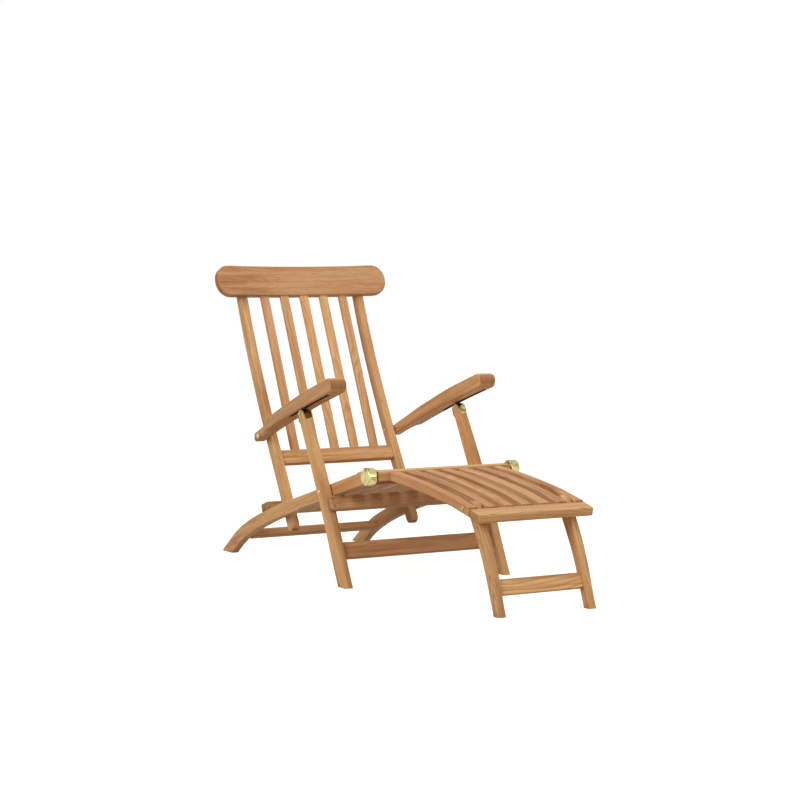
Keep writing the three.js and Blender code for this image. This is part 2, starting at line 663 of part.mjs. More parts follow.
// Front leg frame, with a brass cap and a steel latch on each leg. The cap is a strap bent over the
// leg's top, with round ends on its front and rear edges.
function frontLegs() {
  const capFrom = 1 - capReach / legSpan;
  const capOutline = legOutline(fit + capWall, capFrom);
  const legUp = legLine.getTangentAt(1);
  const half = timber / 2;
  const capEnds = new THREE.Shape();
  capEnds.absarc(0, half - capReach, half, Math.PI, 2 * Math.PI).lineTo(half, capReach + legDepthTop);
  capEnds.lineTo(-half, capReach + legDepthTop);
  const capShape = facing(capEnds, legDepthTop + overrun, legUp, latch).translate([0, slotMiddle, 0]);
  const capRadius = legDepthTop / 2 + fit + capWall;
  const tipRadius = capRadius + latchReach + latchClear;
  const tip = rod(tipRadius, latch, slotMiddle - latchWidth / 2, slotMiddle + latchWidth / 2);
  const corners = [[-1, 0], [1, 0], [1, 1], [-1, 1]];
  const window = corners.map(([side, up]) => {
    const foot = ahead(latch, armAlong, (side * latchLength) / 2);
    return ahead(foot, leftOf(armAlong), up * tipRadius);
  });
  const finger = tip.intersect(sideBoard(new THREE.Shape(window), timber, slotMiddle, 0));
  const legTool = sideBoard(legOutline(fit), timber + 2 * fit, slotMiddle, 0);
  const capTool = sideBoard(legOutline(2 * fit + capWall, capFrom), timber, slotMiddle, 0);
  onBothSides((side, sign) => {
    const mirror = (body) => (sign > 0 ? body : body.mirror([0, 1, 0]));
    const leg = sideBoard(legOutline(0), timber, slotMiddle);
    place(`front_leg_${side}`, mirror(leg.subtract(belowFloor).subtract(boltHole(legPivot))), "teak");
    const cap = sideBoard(capOutline, timber, slotMiddle, 0).intersect(capShape);
    place(`latch_cap_${side}`, mirror(cap.subtract(legTool)), "brass");
    place(`latch_tongue_${side}`, mirror(finger.subtract(capTool)), "steel");
  });
}

// The apron lies on the legs' front faces, its top edge just under the seat rails.
function apron() {
  const leg = onLeg(legPivot.y);
  const down = leg.up.clone().negate();
  const out = leftOf(down);
  const forward = leg.half + fit + apronWidth;
  const corner = ahead(ahead(leg.at, out, forward), down, -apronHeight / 2);
  const wanted = -railDepthBend / 2 - apronClear;
  const slide = (wanted - corner.clone().sub(legPivot).dot(railUp)) / down.dot(railUp);
  const centre = ahead(ahead(leg.at, out, forward - apronWidth / 2), down, slide);
  const slope = slopeOf(leg.up) - Math.PI / 2;
  let body = facing(rectangle(2 * legOuter, apronHeight, apronRound), apronWidth, leg.up, centre, edge);
  for (const sign of [-1, 1]) {
    for (const row of [-1, 1]) {
      const plug = new THREE.CylinderGeometry(plugRadius, plugRadius, 2 * plugDepth, round);
      plug.rotateZ(Math.PI / 2).translate(apronWidth / 2, sign * slotMiddle, (row * plugSpacing) / 2);
      body = body.subtract(solid(plug.rotateY(-slope).translate(centre.x, 0, centre.y)));
    }
  }
  place("apron", body, "teak");
}

function frontStretcher() {
  const leg = onLeg(stretcherRise);
  const section = rectangle(stretcherWidth, stretcherHeight, edge);
  const slope = slopeOf(leg.up) - Math.PI / 2;
  place("front_stretcher", crossPiece(section, 2 * (legInner - fit), slope, leg.at), "teak");
}

// Footrest frame
function footrest() {
  const barSection = rectangle(barWidth, barHeight, edge);
  const socketTools = [1, -1].map((sign) => {
    const socketEnd = kneeInner - spigotLength - boltClear;
    const socket = rod(spigotRadius + boltClear, knee, socketEnd, barEnd + overrun);
    return sign > 0 ? socket : socket.mirror([0, 1, 0]);
  });
  const bar = crossPiece(barSection, 2 * barEnd, 0, barCentre, edge / 2);
  place("footrest_bar", bar.subtract(socketTools[0]).subtract(socketTools[1]), "teak");
  const endSlope = slopeOf(endAlong);
  const endSection = rectangle(endRailWidth, endRailHeight, softEdge);
  place("footrest_end_rail", crossPiece(endSection, restWidth, endSlope, endRail, edge), "teak");
  const cutWidth = restWidth + overrun;
  const endShape = rectangle(endRailWidth + 2 * fit, 3 * endRailHeight);
  const endTool = crossPiece(endShape, cutWidth, endSlope, endRail);
  const barTool = crossPiece(rectangle(barWidth + 2 * fit, 3 * barHeight), cutWidth, 0, barCentre);
  const frameTool = barTool.add(endTool);
  const railBand = band(restLine, ...evenBand(restRailDepth));
  onBothSides((side, sign) => {
    const board = sideBoard(railBand, timber, sign * (restInner + timber / 2));
    const rail = board.subtract(boltHole(restLegPivot));
    place(`footrest_rail_${side}`, rail.subtract(frameTool), "teak");
  });
  const top = restRailDepth / 2;
  const slatBand = band(restLine, () => top, () => top - restSlatHeight);
  for (let i = 0; i < restSlats; i++) {
    const y = (i - (restSlats - 1) / 2) * restSlatPitch;
    place(`footrest_slat_${i + 1}`, sideBoard(slatBand, restSlatWidth, y).subtract(frameTool), "teak");
  }
}

function footrestLegs() {
  const outline = band(restLegLine, ...taperedBand(restLegDepths), { roundEnd: true, runOutStart: overrun });
  onBothSides((side, sign) => {
    const leg = sideBoard(outline, timber, sign * (restLegInner + timber / 2));
    place(`footrest_leg_${side}`, leg.subtract(belowFloor).subtract(boltHole(restLegPivot)), "teak");
  });
  const share = shareWhere(restLegLine, "y", restStretcherRise);
  const slope = slopeOf(restLegLine.getTangentAt(share)) - Math.PI / 2;
  const section = rectangle(restStretcherWidth, restStretcherHeight, edge);
  const stretcher = crossPiece(section, 2 * (restLegInner - fit), slope, restLegLine.getPointAt(share));
  place("footrest_stretcher", stretcher, "teak");
}

seatRails();
seatSlatting(seatCrossBar());
rearStretcher();
knees();
backFrame();
armrests();
frontLegs();
apron();
frontStretcher();
footrest();
footrestLegs();
pivotBolts();

// The origin is the middle of the chair's box on the floor.
const middle = new THREE.Box3().setFromObject(chair).getCenter(new THREE.Vector3());
chair.position.set(-middle.x, 0, 0);

export default chair;
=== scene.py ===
"""Dresses a folding teak steamer chair: timber and its grain, slats, brass knees and bolts, black latches.

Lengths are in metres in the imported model's frame: X to the sitter's feet, Y to the sitter's left, Z up.
"""

import json
import logging
import math
import random
from dataclasses import dataclass
from enum import Enum
from typing import Any, Iterable, Sequence

import bmesh
import bpy
import numpy as np
from mathutils import Euler, Matrix, Vector


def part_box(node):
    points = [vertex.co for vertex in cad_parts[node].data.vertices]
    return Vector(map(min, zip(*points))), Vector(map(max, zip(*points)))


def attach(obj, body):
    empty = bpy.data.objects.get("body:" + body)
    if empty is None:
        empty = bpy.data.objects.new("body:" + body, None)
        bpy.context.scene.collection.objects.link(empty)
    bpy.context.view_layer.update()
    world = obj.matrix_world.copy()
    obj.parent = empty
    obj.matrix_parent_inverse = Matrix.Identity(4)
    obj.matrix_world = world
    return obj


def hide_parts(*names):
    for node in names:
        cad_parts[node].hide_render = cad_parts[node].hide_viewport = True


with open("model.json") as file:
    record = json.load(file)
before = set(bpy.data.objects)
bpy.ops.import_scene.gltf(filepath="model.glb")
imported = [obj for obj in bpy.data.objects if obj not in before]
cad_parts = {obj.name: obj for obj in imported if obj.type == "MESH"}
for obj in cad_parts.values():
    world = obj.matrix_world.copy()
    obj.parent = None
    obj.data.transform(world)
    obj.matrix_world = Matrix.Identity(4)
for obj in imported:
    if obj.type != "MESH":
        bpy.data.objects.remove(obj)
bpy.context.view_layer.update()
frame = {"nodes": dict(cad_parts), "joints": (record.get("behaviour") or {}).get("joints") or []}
log = logging.getLogger("steamer_chair")

Pair = tuple[float, float]
Triple = tuple[float, float, float]
Colour = Triple
Material = bpy.types.Material
Mesh = bpy.types.Mesh
MeshWork = bmesh.types.BMesh
Piece = bpy.types.Object
Socket = bpy.types.NodeSocket
Tree = bpy.types.NodeTree

MM = 0.001
WELD_REACH = 0.01 * MM
CREASE = math.radians(50.0)
LOG_REACH = 6.0
EASE_STEPS = 3
ROUND_SIDES = 32
DOME_RINGS = 20
PLUG_SIDES = 28
WHITE: Colour = (1.0, 1.0, 1.0)
SOCKET_KINDS = {"Count": "NodeSocketInt", "Seed": "NodeSocketInt", "Finish": "NodeSocketMaterial"}


class Side(Enum):
    """The chair's two sides, with the sign of Y on each."""

    RIGHT = -1
    LEFT = 1

    @property
    def label(self) -> str:
        """The side's word in the nodes' names."""
        return self.name.lower()


class Slot(Enum):
    """The record's material slots."""

    TEAK = "teak"
    BRASS = "brass"
    STEEL = "steel"


def srgb(*channels: int) -> Colour:
    """Turns a screen colour of 0 to 255 into the linear colour that a shader takes."""
    shares = [channel / 255 for channel in channels]
    return tuple(share / 12.92 if share <= 0.04045 else ((share + 0.055) / 1.055) ** 2.4 for share in shares)


class Wiring:
    """A node tree in the making, with short calls that add a node and join it up."""

    def __init__(self, tree: Tree) -> None:
        """Clears a shader or geometry tree for its new nodes."""
        self.tree = tree
        tree.nodes.clear()

    def add(self, kind: str, inputs: dict[Any, Any] | None = None, **settings: Any) -> bpy.types.Node:
        """Adds one node.

        Args:
            kind: The node's type name in Blender.
            inputs: What each input takes, by name or place: a socket is joined, a value is set.
            settings: The node's own properties.

        Returns:
            The new node.
        """
        node = self.tree.nodes.new(kind)
        for name, value in settings.items():
            setattr(node, name, value)
        for key, value in (inputs or {}).items():
            if isinstance(value, Socket):
                self.tree.links.new(value, node.inputs[key])
            else:
                node.inputs[key].default_value = value
        return node

    def out(self, kind: str, inputs: dict[Any, Any] | None = None, **settings: Any) -> Socket:
        """Adds one node as add does, and returns its first output."""
        return self.add(kind, inputs, **settings).outputs[0]

    def math(self, operation: str, *values: Any) -> Socket:
        """Adds a sum of numbers and returns the socket with the result."""
        return self.out("ShaderNodeMath", dict(enumerate(values)), operation=operation)

    def vector(self, operation: str, *values: Any) -> Socket:
        """Adds a sum of vectors and returns the socket with the result."""
        return self.out("ShaderNodeVectorMath", dict(enumerate(values)), operation=operation)

    def parts(self, vector: Socket) -> Any:
        """Adds a node that takes a vector apart and returns the sockets of its three parts."""
        return self.add("ShaderNodeSeparateXYZ", {0: vector}).outputs

    def whole(self, *parts: Any) -> Socket:
        """Adds a node that makes a vector of its parts and returns the vector's socket."""
        return self.out("ShaderNodeCombineXYZ", dict(enumerate(parts)))

    def between(self, value: Socket, span: Pair, to: Pair = (0.0, 1.0)) -> Socket:
        """Spreads a span of a number over another smoothly, without passing its ends."""
        inputs = {"Value": value, "From Min": span[0], "From Max": span[1], "To Min": to[0], "To Max": to[1]}
        return self.add("ShaderNodeMapRange", inputs, interpolation_type="SMOOTHSTEP").outputs["Result"]

    def mix(self, share: Any, first: Any, second: Any) -> Socket:
        """Mixes two colours.

        Args:
            share: How much of the second colour there is.
            first: The first colour or socket.
            second: The second colour or socket.

        Returns:
            The socket with the mixed colour.
        """
        def colour(value: Any) -> Any:
            """A colour with its alpha, or the socket as it is."""
            return value if isinstance(value, Socket) else (*value, 1.0)

        inputs = {0: share, 6: colour(first), 7: colour(second)}
        return self.add("ShaderNodeMix", inputs, data_type="RGBA").outputs[2]

    def bump(self, height: Socket, strength: float, depth: float, below: Socket | None = None) -> Socket:
        """Adds a bump of a depth in metres, on a broader one if there is one, and returns the normal."""
        inputs = {"Strength": strength, "Distance": depth, "Height": height}
        return self.out("ShaderNodeBump", inputs | ({"Normal": below} if below else {}))

    def store(self, geometry: Socket, name: str, value: Any, kind: str, domain: str = "POINT") -> Socket:
        """Stores an attribute, a FLOAT or FLOAT_VECTOR, on a geometry's points or instances."""
        inputs = {"Geometry": geometry, "Name": name, "Value": value}
        return self.out("GeometryNodeStoreNamedAttribute", inputs, data_type=kind, domain=domain)

    def seen(self) -> Socket:
        """Tells the rays of the eye, of mirrors and of clear glass from those that only light the scene.

        Returns:
            The socket, 1 for a ray of the first kinds and 0 for the rest.
        """
        path = self.add("ShaderNodeLightPath").outputs
        seen = self.math("MAXIMUM", path["Is Camera Ray"], path["Is Glossy Ray"])
        return self.math("MAXIMUM", seen, path["Is Transmission Ray"])


@dataclass(frozen=True)
class Pattern:
    """One noise of a finish: its scale, all round or on each axis, and the values between which it shows."""

    scale: float | Triple
    detail: float = 3.0
    roughness: float = 0.55
    shows: Pair = (0.3, 0.7)
    most: float = 1.0

    def noise(self, tree: Wiring, place: Socket) -> Socket:
        """Adds the noise over a place.

        Args:
            tree: The shader's wiring.
            place: The socket with the place.

        Returns:
            The socket with the noise, 0 to 1.
        """
        scale = self.scale
        if isinstance(scale, tuple):
            place, scale = tree.vector("MULTIPLY", place, scale), 1.0
        inputs = {"Vector": place, "Scale": scale, "Detail": self.detail, "Roughness": self.roughness}
        return tree.out("ShaderNodeTexNoise", inputs)

    def mask(self, tree: Wiring, noise: Socket) -> Socket:
        """Adds how strongly the pattern shows where the noise has a value."""
        return tree.between(noise, self.shows, (0.0, self.most))


def new_material(name: str) -> tuple[Material, Wiring]:
    """Starts a node material.

    Args:
        name: The material's name.

    Returns:
        The material and the wiring of its tree.
    """
    material = bpy.data.materials.new(name)
    material.use_nodes = True
    return material, Wiring(material.node_tree)


@dataclass(frozen=True)
class Teak:
    """Oiled teak: straight grain with darker streaks, arched growth rings, pores and dark end grain.

    It reads four attributes of each board: grain, the place along, across and through it, shift,
    which part of the log it was sawn from, tone, its lightness, partly its own colour and partly painted
    light and shade, and end, 1 on sawn ends.
    """

    pale: Colour = srgb(213, 168, 119)
    middle: Colour = srgb(184, 131, 83)
    dark: Colour = srgb(146, 92, 51)
    rosy: Colour = srgb(188, 124, 82)
    ring_line: Colour = srgb(122, 72, 38)
    pore: Colour = srgb(92, 54, 30)
    sawn_end: Colour = srgb(134, 86, 52)
    streaks: Pattern = Pattern((1.6, 60.0, 60.0), 5.0, 0.6, (0.3, 0.62))
    clouds: Pattern = Pattern((2.2, 14.0, 14.0), shows=(0.52, 0.78), most=0.75)
    fibres: Pattern = Pattern((14.0, 520.0, 520.0), 4.0, 0.65, (0.48, 0.7), 0.4)
    pores: Pattern = Pattern((55.0, 1500.0, 1500.0), 1.0, shows=(0.66, 0.74), most=0.55)
    heart: Pattern = Pattern((1.1, 9.0, 9.0), 2.0, shows=(0.5, 0.72), most=0.42)
    marks: Pattern = Pattern((0.9, 22.0, 22.0), 2.0, shows=(0.4, 0.66))
    figure: Pattern = Pattern((4.5, 14.0, 14.0), 1.0)
    ring_pitch: float = 7 * MM
    ring_strength: Pair = (0.063, 0.42)
    late_wood: Pair = (0.45, 0.98)
    pith_distance: float = 0.05
    pith_lean: float = 0.05
    log_turn: float = 0.01
    wander: float = 0.016
    figure_depth: float = 0.045
    tone_lightness: float = 0.2
    tone_warmth: float = 0.006
    end_share: float = 0.6
    roughness: Pair = (0.5, 0.66)
    roughness_over: Pair = (0.3, 0.7)
    specular: float = 0.18
    grain_relief: float = 0.6
    grain_depth: float = 0.35 * MM
    grain_strength: float = 0.5

    def material(self) -> Material:
        """Builds the shader.

        Returns:
            The teak material.
        """
        material, tree = new_material("teak")
        marks = {name: tree.add("ShaderNodeAttribute", attribute_name=name).outputs
                 for name in ("grain", "shift", "tone", "end")}
        grain, shift = marks["grain"]["Vector"], marks["shift"]["Vector"]
        tone, end = marks["tone"]["Fac"], marks["end"]["Fac"]
        place = tree.vector("ADD", grain, shift)
        streaks, clouds, fibres, heart, marked = [
            pattern.noise(tree, place)
            for pattern in (self.streaks, self.clouds, self.fibres, self.heart, self.marks)
        ]
        open_pores = self.pores.mask(tree, self.pores.noise(tree, place))
        strength = tree.between(marked, self.marks.shows, self.ring_strength)
        rings = tree.math("MULTIPLY", self.rings(tree, grain, shift, clouds), strength)
        base = tree.mix(self.streaks.mask(tree, streaks), self.middle, self.pale)
        base = tree.mix(self.heart.mask(tree, heart), base, self.rosy)
        base = tree.mix(self.clouds.mask(tree, clouds), base, self.dark)
        base = tree.mix(rings, base, self.ring_line)
        base = tree.mix(self.fibres.mask(tree, fibres), base, self.dark)
        base = tree.mix(open_pores, base, self.pore)
        # The tone lightens or darkens each board: partly its own colour, partly painted light and shade.
        toned = tree.out("ShaderNodeHueSaturation", {
            "Hue": tree.math("MULTIPLY_ADD", tone, self.tone_warmth, 0.5),
            "Value": tree.math("MULTIPLY_ADD", tone, self.tone_lightness, 1.0),
            "Color": base,
        })
        sawn = tree.mix(fibres, self.sawn_end, self.dark)
        height = tree.math("SUBTRACT", tree.math("MULTIPLY", fibres, self.grain_relief), open_pores)
        shader = tree.out("ShaderNodeBsdfPrincipled", {
            "Base Color": tree.mix(tree.math("MULTIPLY", end, self.end_share), toned, sawn),
            "Roughness": tree.between(streaks, self.roughness_over, self.roughness),
            "Specular IOR Level": self.specular,
            "Normal": tree.bump(height, self.grain_strength, self.grain_depth),
        })
        tree.add("ShaderNodeOutputMaterial", {"Surface": shader})
        return material

    def rings(self, tree: Wiring, grain: Socket, shift: Socket, clouds: Socket) -> Socket:
        """Adds the growth rings: uneven shells round a pith line that leans through the board, so they arch.

        Args:
            tree: The shader's wiring.
            grain: The socket with the place in the board.
            shift: The socket with the board's place in the log.
            clouds: A soft noise that lets the rings wander.

        Returns:
            The socket with the darkness of the late wood, 0 to 1.
        """
        along, across, deep = tree.parts(grain)
        swing = tree.math("MULTIPLY", tree.math("SUBTRACT", clouds, 0.5), self.wander)
        turn = tree.math("MULTIPLY", tree.parts(shift)[1], self.log_turn)
        across = tree.math("ADD", tree.math("ADD", across, swing), turn)
        waves = self.figure.noise(tree, tree.vector("ADD", grain, shift))
        heave = tree.math("MULTIPLY", tree.math("SUBTRACT", waves, 0.5), self.figure_depth)
        lean = tree.math("MULTIPLY", along, self.pith_lean)
        deep = tree.math("ADD", tree.math("ADD", deep, lean), tree.math("ADD", heave, self.pith_distance))
        length = tree.add("ShaderNodeVectorMath", {0: tree.whole(across, deep)}, operation="LENGTH")
        turns = tree.math("DIVIDE", length.outputs["Value"], self.ring_pitch)
        return tree.between(tree.math("FRACT", turns), self.late_wood)


@dataclass(frozen=True)
class Brass:
    """Polished brass: faint ripples of the casting, tarnish that also paints dark reflections, fine
    scratches, a soft handled sheen.
    """

    bright: Colour = srgb(204, 192, 136)
    # The tarnish colour, which also stands for painted dark reflections.
    tarnished: Colour = srgb(134, 114, 66)
    roughness: Pair = (0.12, 0.28)
    tarnish: Pattern = Pattern(45.0, 3.0, 0.5, (0.44, 0.64), 0.9)
    smears: Pattern = Pattern(220.0, shows=(0.3, 0.75))
    scratches: Pattern = Pattern((400.0, 400.0, 4000.0), 2.0)
    scratch_strength: float = 0.25
    scratch_depth: float = 0.03 * MM
    ripples: Pattern = Pattern(75.0, 1.0)
    ripple_strength: float = 0.5
    ripple_depth: float = 0.7 * MM

    def material(self) -> Material:
        """Builds the shader.

        Returns:
            The brass material.
        """
        material, tree = new_material("polished_brass")
        place = tree.add("ShaderNodeTexCoord").outputs["Object"]
        cast = tree.bump(self.ripples.noise(tree, place), self.ripple_strength, self.ripple_depth)
        # Tarnish patches, partly real tarnish and partly painted dark reflections of what the polished brass
        # mirrors.
        tarnish = self.tarnish.mask(tree, self.tarnish.noise(tree, place))
        scratches = self.scratches.noise(tree, place)
        shader = tree.out("ShaderNodeBsdfPrincipled", {
            "Base Color": tree.mix(tarnish, self.bright, self.tarnished),
            "Metallic": 1.0,
            "Roughness": tree.between(self.smears.noise(tree, place), self.smears.shows, self.roughness),
            "Normal": tree.bump(scratches, self.scratch_strength, self.scratch_depth, cast),
        })
        tree.add("ShaderNodeOutputMaterial", {"Surface": shader})
        return material


@dataclass(frozen=True)
class BlackSteel:
    """Black painted steel of the latches, with a slightly rough coat that has worn to grey in spots."""

    coat: Colour = srgb(24, 24, 26)
    worn: Colour = srgb(74, 72, 70)
    roughness: Pair = (0.38, 0.58)
    rub: Pattern = Pattern(180.0, 5.0, 0.65, (0.6, 0.78), 0.7)
    peel: Pattern = Pattern(900.0, 2.0)
    peel_strength: float = 0.3
    coat_depth: float = 0.05 * MM

    def material(self) -> Material:
        """Builds the shader.

        Returns:
            The steel material.
        """
        material, tree = new_material("black_steel")
        place = tree.add("ShaderNodeTexCoord").outputs["Object"]
        peel = self.peel.noise(tree, place)
        shader = tree.out("ShaderNodeBsdfPrincipled", {
            "Base Color": tree.mix(self.rub.mask(tree, self.rub.noise(tree, place)), self.coat, self.worn),
            "Roughness": tree.between(peel, self.peel.shows, self.roughness),
            "Normal": tree.bump(peel, self.peel_strength, self.coat_depth),
        })
        tree.add("ShaderNodeOutputMaterial", {"Surface": shader})
        return material


@dataclass(frozen=True)
class PaleFloor:
    """A plain studio floor, white to the eye, that shows only the soft shadow on it."""

    colour: Colour = (0.46, 0.41, 0.34)
    lift: float = 0.86

    def material(self) -> Material:
        """Builds the shader: matt, lifted to white where the eye or a mirror sees it.

        Returns:
            The floor's material.
        """
        material, tree = new_material("pale_floor")
        matt = tree.out("ShaderNodeBsdfDiffuse", {"Color": (*self.colour, 1.0)})
        glow = tree.out("ShaderNodeEmission", {"Strength": tree.math("MULTIPLY", tree.seen(), self.lift)})
        tree.add("ShaderNodeOutputMaterial", {"Surface": tree.out("ShaderNodeAddShader", {0: matt, 1: glow})})
        return material


def new_object(name: str, data: bpy.types.ID) -> Piece:
    """Puts a mesh, a lamp or a camera into the scene.

    Args:
        name: The object's name.
        data: What it shows.

    Returns:
        The object.
    """
    piece = bpy.data.objects.new(name, data)
    bpy.context.scene.collection.objects.link(piece)
    return piece


def mesh_of(work: MeshWork) -> Mesh:
    """Turns mesh work, which is used up, into a mesh.

    Args:
        work: The finished work.

    Returns:
        The mesh.
    """
    mesh = bpy.data.meshes.new("part")
    work.to_mesh(mesh)
    work.free()
    return mesh


def solid(node: str) -> Mesh:
    """Copies a CAD node's solid and joins its loose triangles at their corners.

    Args:
        node: The CAD node.

    Returns:
        The mesh, without the solid's plain colours.
    """
    work = bmesh.new()
    work.from_mesh(frame["nodes"][node].data)
    bmesh.ops.remove_doubles(work, verts=work.verts, dist=WELD_REACH)
    bmesh.ops.recalc_face_normals(work, faces=work.faces)
    mesh = mesh_of(work)
    while mesh.color_attributes:
        mesh.color_attributes.remove(mesh.color_attributes[0])
    return mesh


def baked(piece: Piece) -> None:
    """Turns a piece's modifiers into plain mesh and takes them off.

    Args:
        piece: The piece to settle.
    """
    graph = bpy.context.evaluated_depsgraph_get()
    graph.update()
    mesh = bpy.data.meshes.new_from_object(piece.evaluated_get(graph), depsgraph=graph)
    piece.modifiers.clear()
    piece.data = mesh
    mesh.name = piece.name


@dataclass(frozen=True)
class Label:
    """A piece's name, the CAD body it moves with, its material slot and the CAD nodes it stands for."""

    name: str
    body: str
    slot: Slot
    nodes: Sequence[str] = ()


def finished(piece: Piece, label: Label) -> None:
    """Shades a piece, smooth over its eased edges, hangs it on its body and hides what it stands for.

    Args:
        piece: The finished object.
        label: What it is and where it belongs.
    """
    piece.data.shade_smooth()
    piece.data.set_sharp_from_angle(angle=CREASE)
    weighted = piece.modifiers.new("broad faces first", "WEIGHTED_NORMAL")
    weighted.keep_sharp = True
    baked(piece)
    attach(piece, label.body)
    if label.nodes:
        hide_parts(*label.nodes)
    faces, stands_for = len(piece.data.polygons), ", ".join(label.nodes) or "no node"
    log.info("%s: %d faces, rides on %s, stands for %s", label.name, faces, label.body, stands_for)


def corners_of(mesh: Mesh) -> np.ndarray:
    """The corners of a mesh as rows of X, Y and Z."""
    return np.array([tuple(vert.co) for vert in mesh.vertices])


def put_attribute(mesh: Mesh, name: str, kind: str, domain: str, values: np.ndarray) -> None:
    """Stores a FLOAT or FLOAT_VECTOR for each POINT or FACE of a mesh, for the shaders to read."""
    rows = mesh.attributes.new(name, kind, domain).data
    rows.foreach_set("vector" if kind == "FLOAT_VECTOR" else "value", values.astype(np.float32).ravel())


def new_geometry_tree(name: str, *labels: str) -> tuple[Wiring, dict[str, Socket]]:
    """Starts a geometry tree with its named inputs and one for the finish.

    Args:
        name: The tree's name.
        labels: The names of its inputs, of which Count and Seed are whole numbers.

    Returns:
        The wiring, and the group input's sockets by name.
    """
    tree = bpy.data.node_groups.new(name, "GeometryNodeTree")
    tree.interface.new_socket("Geometry", in_out="INPUT", socket_type="NodeSocketGeometry")
    for label in (*labels, "Finish"):
        kind = SOCKET_KINDS.get(label, "NodeSocketFloat")
        tree.interface.new_socket(label, in_out="INPUT", socket_type=kind)
    tree.interface.new_socket("Geometry", in_out="OUTPUT", socket_type="NodeSocketGeometry")
    wiring = Wiring(tree)
    given = wiring.add("NodeGroupInput").outputs
    return wiring, {socket.name: socket for socket in given if socket.name}


def close_geometry_tree(tree: Wiring, geometry: Socket, finish: Socket) -> Tree:
    """Ends a geometry tree with real meshes in their material.

    Args:
        tree: The tree in the making.
        geometry: The socket with the instances.
        finish: The socket with the material.

    Returns:
        The finished tree.
    """
    real = tree.out("GeometryNodeRealizeInstances", {"Geometry": geometry})
    dressed = tree.out("GeometryNodeSetMaterial", {"Geometry": real, "Material": finish})
    tree.add("NodeGroupOutput", {"Geometry": dressed})
    return tree.tree


def slat_tree() -> Tree:
    """Builds the tree that lays a row of slats: a section swept along a path, repeated across the chair.

    Returns:
        The geometry tree. Its own geometry is the path of one slat, as a chain of edges.
    """
    labels = ("Count", "Seed", "Pitch", "Width", "Thickness", "Ease", "Tone", "Tone Spread", "Middle Lift")
    tree, given = new_geometry_tree("row of slats", *labels)
    path = tree.out("GeometryNodeMeshToCurve", {"Mesh": given["Geometry"]})
    path = tree.out("GeometryNodeSetCurveNormal", {"Curve": path}, mode="Z_UP")
    along = tree.add("GeometryNodeSplineParameter").outputs["Length"]
    marked_path = tree.store(path, "along", along, "FLOAT")
    sizes = {"Width": given["Width"], "Height": given["Thickness"]}
    corners = {"Count": EASE_STEPS, "Radius": given["Ease"], "Limit Radius": True}
    corners["Curve"] = tree.out("GeometryNodeCurvePrimitiveQuadrilateral", sizes)
    soft = tree.out("GeometryNodeFilletCurve", corners, mode="POLY")
    section = tree.store(soft, "section", tree.out("GeometryNodeInputPosition"), "FLOAT_VECTOR")
    sweep = {"Curve": marked_path, "Profile Curve": section, "Fill Caps": True}
    read_along = tree.out("GeometryNodeInputNamedAttribute", {"Name": "along"}, data_type="FLOAT")
    read_section = tree.out("GeometryNodeInputNamedAttribute", {"Name": "section"}, data_type="FLOAT_VECTOR")
    across, through, _ = tree.parts(read_section)
    grain = tree.whole(read_along, across, through)
    slat = tree.store(tree.out("GeometryNodeCurveToMesh", sweep), "grain", grain, "FLOAT_VECTOR")
    last = tree.math("SUBTRACT", given["Count"], 1)
    half = tree.math("MULTIPLY", tree.math("MULTIPLY", last, given["Pitch"]), -0.5)
    line = {"Count": given["Count"], "Start Location": tree.whole(0.0, half)}
    line["Offset"] = tree.whole(0.0, given["Pitch"])
    row = tree.out("GeometryNodeMeshLine", line, mode="OFFSET")
    placed = tree.out("GeometryNodeInstanceOnPoints", {"Points": row, "Instance": slat})
    doubled = tree.math("MULTIPLY", tree.out("GeometryNodeInputIndex"), 2)
    off_middle = tree.math("ABSOLUTE", tree.math("SUBTRACT", tree.math("DIVIDE", doubled, last), 1))
    near_middle = tree.math("SUBTRACT", 0.5, off_middle)
    lift = tree.math("MULTIPLY_ADD", near_middle, given["Middle Lift"], given["Tone"])
    reach = {"Min": (-LOG_REACH,) * 3, "Max": (LOG_REACH,) * 3, "Seed": given["Seed"]}
    dice = tree.out("FunctionNodeRandomValue", reach, data_type="FLOAT_VECTOR")
    luck = tree.add("FunctionNodeRandomValue", {2: -1.0, 3: 1.0, "Seed": given["Seed"]}, data_type="FLOAT")
    tone = tree.math("MULTIPLY_ADD", luck.outputs[1], given["Tone Spread"], lift)
    toned = tree.store(placed, "tone", tone, "FLOAT", "INSTANCE")
    sawn = tree.store(toned, "shift", dice, "FLOAT_VECTOR", "INSTANCE")
    return close_geometry_tree(tree, sawn, given["Finish"])


